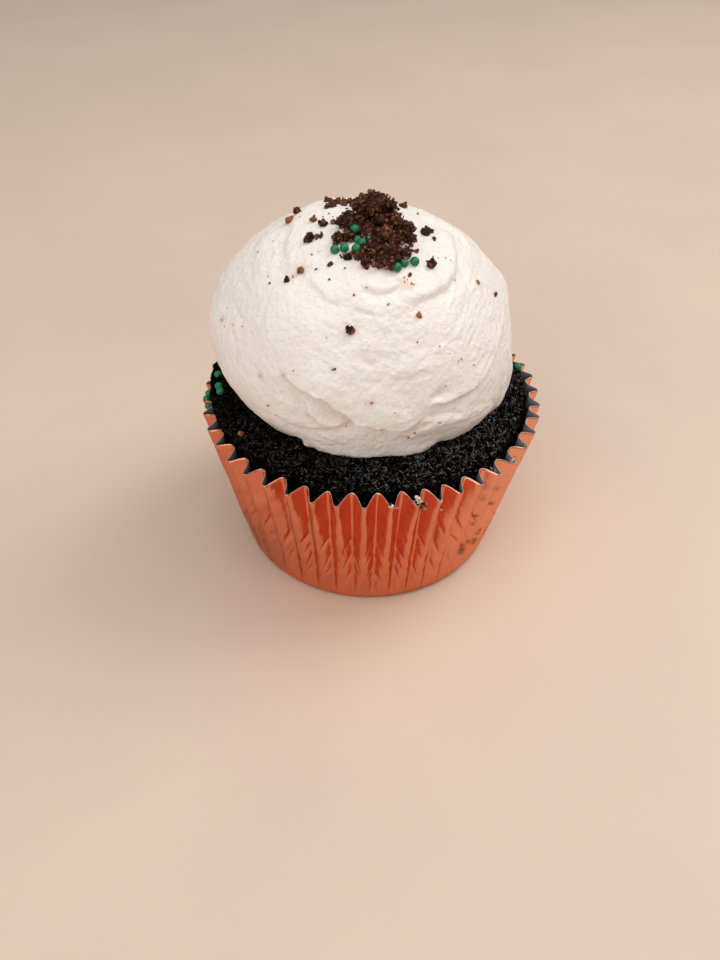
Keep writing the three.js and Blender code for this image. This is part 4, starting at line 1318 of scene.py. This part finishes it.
# Sprinkles by pixel, each with how much further back it lies than on the nearest surface, in millimetres.
SPRINKLES = [
    (334.6, 249.4, 0), (344.3, 247.7, 0), (397.3, 267.3, 0), (404.3, 262.9, 0.2), (414.7, 261.4, 0),
    (356.3, 248.6, 0.3), (361.9, 242.8, 0.1), (357.3, 240, 0.6), (354.8, 228.8, 0.3), (369.6, 238.2, 1.3),
    (218.4, 374.6, 0), (219, 386.2, 0), (220.4, 391.3, 0), (517.8, 366.9, 0),
    (208.6, 405.7, 0), (206.8, 399, 0), (208.9, 393.5, 0),
]


def sprinkles(trees):
    """Sugar balls; one with nothing behind it lies as far away as the one before."""
    balls = Grains(seed=41)
    for px, py, back in SPRINKLES:
        way = sight(px, py)
        hits = [tree.ray_cast(CAMERA_AT, way)[3] for tree in trees]
        hits = [distance for distance in hits if distance]
        nearest = min(hits) if hits else nearest
        centre = CAMERA_AT + way * (nearest + back - SPRINKLE_RADIUS * (1 - SPRINKLE_SINK))
        balls.lump(centre, [SPRINKLE_RADIUS * balls.pick.uniform(0.94, 1.04) for _ in range(3)], 3)
    return balls.mesh("sprinkles", smooth=True)


# Loose crumbs on the icing: pixel, size across, tone.
LOOSE_CRUMBS = [
    (297.7, 212.1, 1.7, 0.1), (291, 220.8, 1.6, 0.6), (314, 220.8, 1.4, 0.4), (322.7, 224.9, 1.9, 0.0),
    (332.9, 223.4, 1.1, 0.4), (309.9, 239.2, 2.0, 0.0), (317, 237.1, 1.0, 0.2), (321.6, 235.6, 0.9, 0.1),
    (425.7, 233.1, 2.1, 0.0), (431.3, 232.2, 1.2, 0.1), (433.9, 238.7, 0.9, 0.2), (430.3, 265.7, 2.2, 0.0),
    (417.6, 214.2, 0.8, 0.4), (416, 241.2, 0.8, 0.4), (411.9, 245.8, 0.9, 0.4), (416, 251.9, 0.9, 0.4),
    (409.9, 274.9, 0.9, 0.2), (404.3, 277.4, 0.6, 0.8), (411.4, 283.6, 0.6, 0.8), (331.3, 264.2, 0.9, 0.1),
    (301, 271, 1.4, 0.5), (329.3, 279.5, 0.7, 0.1), (345.1, 268.3, 0.6, 0.3), (311.9, 254.5, 0.6, 0.1),
    (366.5, 287.5, 0.4, 0.2), (258.1, 252.1, 0.5, 0.1), (273.3, 241.2, 0.35, 0.1), (287.1, 280.5, 1.2, 0.0),
    (269.8, 283.4, 0.8, 0.2), (267.8, 276.5, 0.45, 0.5), (353.7, 295.1, 0.7, 0.6), (348.8, 330.2, 1.6, 0.0),
    (419.1, 315.8, 1.1, 0.6), (417.4, 342.2, 0.45, 0.1), (439.8, 346.5, 0.5, 0.7), (293.4, 370.9, 0.4, 0.4),
    (283.3, 375.5, 0.4, 0.6), (260.4, 375.8, 0.4, 0.6), (242.3, 326.4, 0.4, 0.1), (224.5, 326.4, 0.4, 0.3),
    (495.2, 294.6, 0.9, 0.2), (477.1, 281.9, 1.0, 1.0), (455, 280.2, 0.4, 0.5), (450.4, 260.4, 0.4, 0.2),
    (370.9, 403.1, 0.6, 0.7), (394.7, 412.8, 0.45, 0.6), (415.4, 433.2, 0.4, 0.3), (328, 201.5, 1.6, 0.05),
    (327, 208, 1.2, 0.1), (333, 206, 1.8, 0.1), (338, 203.5, 1.8, 0.2), (344, 204.5, 1.6, 0.25),
    (349, 203, 1.5, 0.0), (352, 206, 1.4, 0.0), (343, 198.6, 0.8, 0.6), (355, 202.5, 1.6, 0.0),
    (403, 207.5, 1.4, 0.15), (405, 205.5, 0.9, 0.1), (323, 217, 0.5, 0.5), (329, 214, 0.6, 0.2),
    (333, 217, 0.5, 0.4), (300, 217, 0.4, 0.5), (404.6, 281.8, 0.5, 1.0), (407.4, 279.8, 0.4, 0.9),
    (413.6, 284.6, 0.5, 0.9), (318.5, 252, 0.35, 0.8), (320.5, 251, 0.3, 0.8), (340.3, 255.3, 0.6, 0.2),
    (445.5, 258, 0.5, 1.0), (433, 256.5, 0.4, 0.2), (437.8, 258, 0.35, 0.2), (427.3, 254.2, 0.3, 0.3),
    (233.3, 325, 0.4, 0.2), (227, 308, 0.3, 0.4), (222, 320, 0.5, 0.8), (449.5, 353.5, 0.3, 0.7),
    (474, 365, 0.5, 0.9), (454, 408.5, 0.35, 0.6), (459.5, 397, 0.35, 0.6), (308.5, 414.5, 0.45, 0.7),
    (275.5, 415.2, 0.3, 0.7), (346.3, 426.2, 0.4, 0.7), (281.7, 391.6, 0.35, 0.8), (382, 430.3, 0.35, 0.5),
    (408.4, 437, 0.75, 0.6), (414.4, 433, 0.5, 0.3), (365.3, 404, 0.3, 0.7), (372.3, 402.6, 0.5, 0.6),
    (313.8, 387.5, 0.3, 0.8),
]
CAKE_CRUMB_AT = (241.7, 434.6)  # one on the cake
CAKE_CRUMB_ACROSS = 1.0
BACK_CRUMBS = 9
LOOSE_GRAIN = 0.34
TINY_CRUMB = 0.8  # up to this size they are made smaller and lighter
TINY_SHRINK = 0.62
TINY_LIGHTER = 0.2
CRUMB_STANDS = 0.12  # how far its middle is above the icing, of its size


def loose_crumbs(icing, cake):
    grains = Grains(seed=51)
    pick = grains.pick
    for px, py, across, tone in LOOSE_CRUMBS:
        spot, facing = seen(icing, px, py)
        if spot is not None:
            if across <= TINY_CRUMB:
                across *= TINY_SHRINK
                tone = min(1, tone + TINY_LIGHTER)
            grains.crumb(spot + facing * across * CRUMB_STANDS, across, tone, LOOSE_GRAIN)
    for _ in range(BACK_CRUMBS):
        way = towards(pick.uniform(25, 155), pick.uniform(5, 40))
        spot, facing, _, _ = icing.ray_cast(MOUND_CENTRE + way * 60, -way)
        across = pick.uniform(0.4, 1.6)
        grains.crumb(spot + facing * across * CRUMB_STANDS, across, pick.uniform(0, 0.5), LOOSE_GRAIN)
    spot, facing = seen(cake, *CAKE_CRUMB_AT)
    grains.crumb(spot + facing * 0.3, CAKE_CRUMB_ACROSS, 0.5, LOOSE_GRAIN)
    return grains.mesh("loose_crumbs", smooth=False)


# Dark specks in the icing: pixel and size across.
SPECKS = [
    (316.9, 269.6, 0.8), (292.7, 276.3, 0.7), (388.1, 304, 0.6), (458.5, 361.8, 0.5), (461.3, 360, 0.5),
    (333, 370.1, 1.0), (268.1, 405.4, 0.6), (439.8, 422.6, 0.5), (326.4, 337.3, 0.35), (445.3, 385.9, 0.4),
]


def specks(icing):
    grains = Grains(seed=61)
    pick = grains.pick
    spots = []
    for px, py, across in SPECKS:
        spot, facing = seen(icing, px, py)
        spots.append((spot, across))
        lean = facing.to_track_quat("Z", "Y").to_matrix()
        for _ in range(3):
            off = lean @ Vector((pick.gauss(0, 0.24), pick.gauss(0, 0.24), 0)) * across
            size = across * pick.uniform(0.12, 0.26)
            grains.lump(spot + off, (size, size * 0.8, 0.08), 2, 0.2, turn=lean)
    return grains.mesh("dark_specks", smooth=True), spots


# Brown smudges on the foil: pixel and size across.
SMUDGES = [
    (461.2, 545.5, 1.5), (461.8, 549, 1.7), (460.5, 552.5, 1.3), (468.5, 541.5, 1.1), (472, 540, 1.0),
    (475, 540, 1.3), (473.5, 543, 1.1), (477.5, 533.5, 0.8), (480, 530, 0.9), (489, 503.3, 1.0),
    (491.5, 503.6, 0.9), (474, 516.2, 0.9), (476.5, 515.8, 0.9), (483.3, 498, 0.9), (472.4, 524, 0.8),
    (495, 487.8, 0.8), (497.5, 488, 0.7), (484, 486, 1.3),
]
SMUDGE_STRENGTH = 0.8

# Brown stains where crumb is caught in the icing: pixel and size across.
BROWNED = [
    (408.5, 437, 0.8), (409.8, 435, 0.7), (411.2, 433.4, 0.7), (412.8, 431.8, 0.7), (414.6, 430.4, 0.7),
    (416.6, 429, 0.7), (418.9, 427.8, 0.7), (421.5, 426.8, 0.7), (424.5, 425.7, 0.7), (371, 402.8, 1.2),
    (221.5, 320, 1.4), (308, 414.8, 1.2), (260.5, 376, 1.2), (283.5, 375.5, 1.2), (291, 220.8, 2.6),
    (301, 271, 2.4), (382, 430, 1.2), (366, 269, 2.2), (404, 283, 2.0), (411.4, 284, 1.4),
]

# and where painted shade makes it a little browner under its laps:
PAINTED_LAP_SHADE = [
    (325, 401, 1.4), (329, 404, 1.7), (333, 408.5, 1.8), (338, 413.5, 1.8), (344, 418.5, 1.8),
    (350, 422.5, 1.6), (316, 421, 1.2), (321, 426, 1.2), (328, 428.5, 1.0), (336, 429, 1.0),
]
BROWNED_STRENGTH = 0.35
PAINTED_LAP_SHADE_STRENGTH = 0.2
STAIN_STRENGTH = 0.4  # of the grey round the dark specks

# Torn flecks of foil and its white backing at the rim: pixel, width, height, and 0 white to 1 gold.
FLECKS = [
    (416.2, 499.5, 0.9, 1.2, 0.15), (418.4, 502, 0.8, 1.2, 0.35), (414.8, 503.3, 0.8, 0.9, 0.6),
    (422.9, 506.3, 1.1, 1.1, 1.0), (426.3, 504, 0.5, 0.7, 0.0), (426.4, 508.6, 0.5, 0.45, 0.1),
    (420.6, 504.4, 0.5, 0.5, 0.1), (420.8, 508.8, 0.4, 0.4, 0.2), (392, 506.6, 1.1, 0.5, 0.0),
    (395, 508, 0.6, 0.4, 0.1), (441.7, 509, 0.45, 0.6, 0.0), (440.8, 501.5, 0.4, 1.2, 0.3),
    (513.2, 461.5, 0.6, 1.2, 0.0), (515.6, 458, 0.4, 1.1, 0.1), (511, 460, 0.5, 0.4, 0.4),
    (492.6, 468.8, 1.0, 0.3, 0.0), (496.5, 470.8, 0.9, 0.3, 0.1), (526, 446, 0.6, 0.35, 0.1),
    (484.3, 484.5, 0.45, 0.9, 0.3), (465.5, 478.5, 0.6, 0.3, 0.1),
]
FLECKS_ABOVE = 26.0
FLECK_STEP = 0.25  # how much higher each pixel over the rim is
FLECK_SEARCH = 14  # how many pixels down to look for the rim
FLECK_THICK = 0.05


def at_rim(cup, px, py):
    """The spot on the cup that a pixel shows, or the one just over the rim where it looks past that."""
    for drop in range(FLECK_SEARCH):
        spot, facing = seen(cup, px, py + drop)
        if spot is not None and spot.z > FLECKS_ABOVE:
            return spot + Vector((0, 0, drop * FLECK_STEP)), facing
    return None, None


def foil_flecks(cup):
    grains = Grains(seed=71)
    pick = grains.pick
    for px, py, wide, high, tone in FLECKS:
        spot, facing = at_rim(cup, px, py)
        if spot is None:
            continue
        for _ in range(3):
            lean = (facing + 0.5 * Vector([pick.gauss(0, 1) for _ in range(3)])).to_track_quat("Z", "Y")
            off = Vector((pick.gauss(0, 0.25) * wide, 0, pick.gauss(0, 0.25) * high))
            shape = (0.45 * wide, 0.45 * high, FLECK_THICK)
            grains.lump(spot + off + facing * 0.1, shape, 2, 0.3, tone, lean.to_matrix())
    return grains.mesh("foil_flecks", smooth=False)


def spots_seen(tree, marks):
    """Where marks given by pixel lie on a surface, each with its size across."""
    return [(seen(tree, px, py)[0], across) for px, py, across in marks]


def spread(mesh, spots):
    """How strongly each point of a mesh is marked by round soft spots, each a place and a size across."""
    points = points_of(mesh)
    marked = np.zeros(len(points))
    for place, across in spots:
        distance = np.linalg.norm(points - np.array(place), axis=1)
        marked = np.maximum(marked, np.exp(-((distance / (0.55 * across)) ** 2)))
    return marked


# ---- Stage ----

FLOOR_HALF_WIDTH = 1.5  # in metres, as are the lights' places
LIGHTS_AIM = Vector((0, 0, 0.04))
SKY_STRENGTH = 0.36


def build_floor():
    bm = bmesh.new()
    bmesh.ops.create_grid(bm, x_segments=8, y_segments=8, size=FLOOR_HALF_WIDTH)
    mesh = bpy.data.meshes.new("floor")
    bm.to_mesh(mesh)
    bm.free()
    made, surface, tree = shader("pale_floor")
    tint = blend_colours(tree, mottle(tree, size=60), (0.665, 0.525, 0.425), (0.695, 0.55, 0.445))
    feed(tree, surface, {"Base Color": tint, "Roughness": 0.55})
    mesh.materials.append(made)
    floor = bpy.data.objects.new("floor", mesh)
    bpy.context.scene.collection.objects.link(floor)


def area_light(name, place, width, power, colour):
    light = bpy.data.lights.new(name, "AREA")
    light.shape = "DISK"
    light.size = width
    light.energy = power
    light.color = colour
    lamp = bpy.data.objects.new(name, light)
    lamp.location = place
    aim = LIGHTS_AIM - lamp.location
    lamp.rotation_euler = aim.to_track_quat("-Z", "Y").to_euler()
    bpy.context.scene.collection.objects.link(lamp)


def build_lights():
    area_light("key", (0.5, 0.2, 0.62), 0.5, 2.7, (1.0, 0.97, 0.93))
    area_light("overhead", (0.1, -0.15, 0.95), 1.0, 3.4, (1.0, 0.98, 0.95))
    area_light("front", (-0.4, -0.55, 0.6), 0.8, 2.7, (1.0, 0.98, 0.95))
    world = bpy.data.worlds.new("studio")
    world.use_nodes = True
    sky = world.node_tree.nodes["Background"]
    sky.inputs["Color"].default_value = (1.0, 0.95, 0.9, 1)
    sky.inputs["Strength"].default_value = SKY_STRENGTH
    bpy.context.scene.world = world


def build_camera():
    camera = bpy.data.cameras.new("view")
    camera.sensor_width = SENSOR
    camera.lens = LENS
    camera.clip_start = 0.01
    camera.clip_end = 10
    stand = bpy.data.objects.new("view", camera)
    stand.location = CAMERA_AT * MM
    stand.rotation_euler = (math.radians(90 - CAMERA_PITCH), 0, 0)
    bpy.context.scene.collection.objects.link(stand)
    bpy.context.scene.camera = stand


# ---- The cupcake ----


def build():
    cup = foil_cup()
    cake = chocolate_cake()
    icing = buttercream()
    cup_tree, cake_tree, icing_tree = tree_of(cup), tree_of(cake), tree_of(icing)
    strands = crumb_strands(cake)
    heap = crumb_heap()
    balls = sprinkles([icing_tree, tree_of(heap), cake_tree, cup_tree])
    loose = loose_crumbs(icing_tree, cake_tree)
    dark, dark_spots = specks(icing_tree)
    add_attribute(cup, "smudge", SMUDGE_STRENGTH * spread(cup, spots_seen(cup_tree, SMUDGES)))
    add_attribute(icing, "stain", STAIN_STRENGTH * spread(icing, dark_spots))
    browned = BROWNED_STRENGTH * spread(icing, spots_seen(icing_tree, BROWNED))
    # Painted shade under the laps, kept in one attribute with the real crumb stains.
    painted_lap_shade = PAINTED_LAP_SHADE_STRENGTH * spread(icing, spots_seen(icing_tree, PAINTED_LAP_SHADE))
    add_attribute(icing, "crumb_stain_and_painted_shade", np.maximum(browned, painted_lap_shade))
    flecks = foil_flecks(cup_tree)
    crumb = crumb_material()
    piece("foil_cup", cup, [foil_material(), lining_material(), cut_edge_material()], ["baking_case"])
    piece("chocolate_cake", cake, [cake_material()], ["cake"])
    piece("cake_strands", strands, [strand_material()])
    piece("buttercream", icing, [buttercream_material()], ["frosting"])
    piece("crumb_pile", heap, [crumb], ["crumb_heap"])
    piece("loose_crumbs", loose, [crumb])
    piece("sprinkles", balls, [sprinkle_material()])
    piece("dark_specks", dark, [speck_material()])
    piece("foil_flecks", flecks, [fleck_material()])


build()
build_floor()
build_lights()
build_camera()
bpy.context.scene.view_settings.view_transform = "Standard"
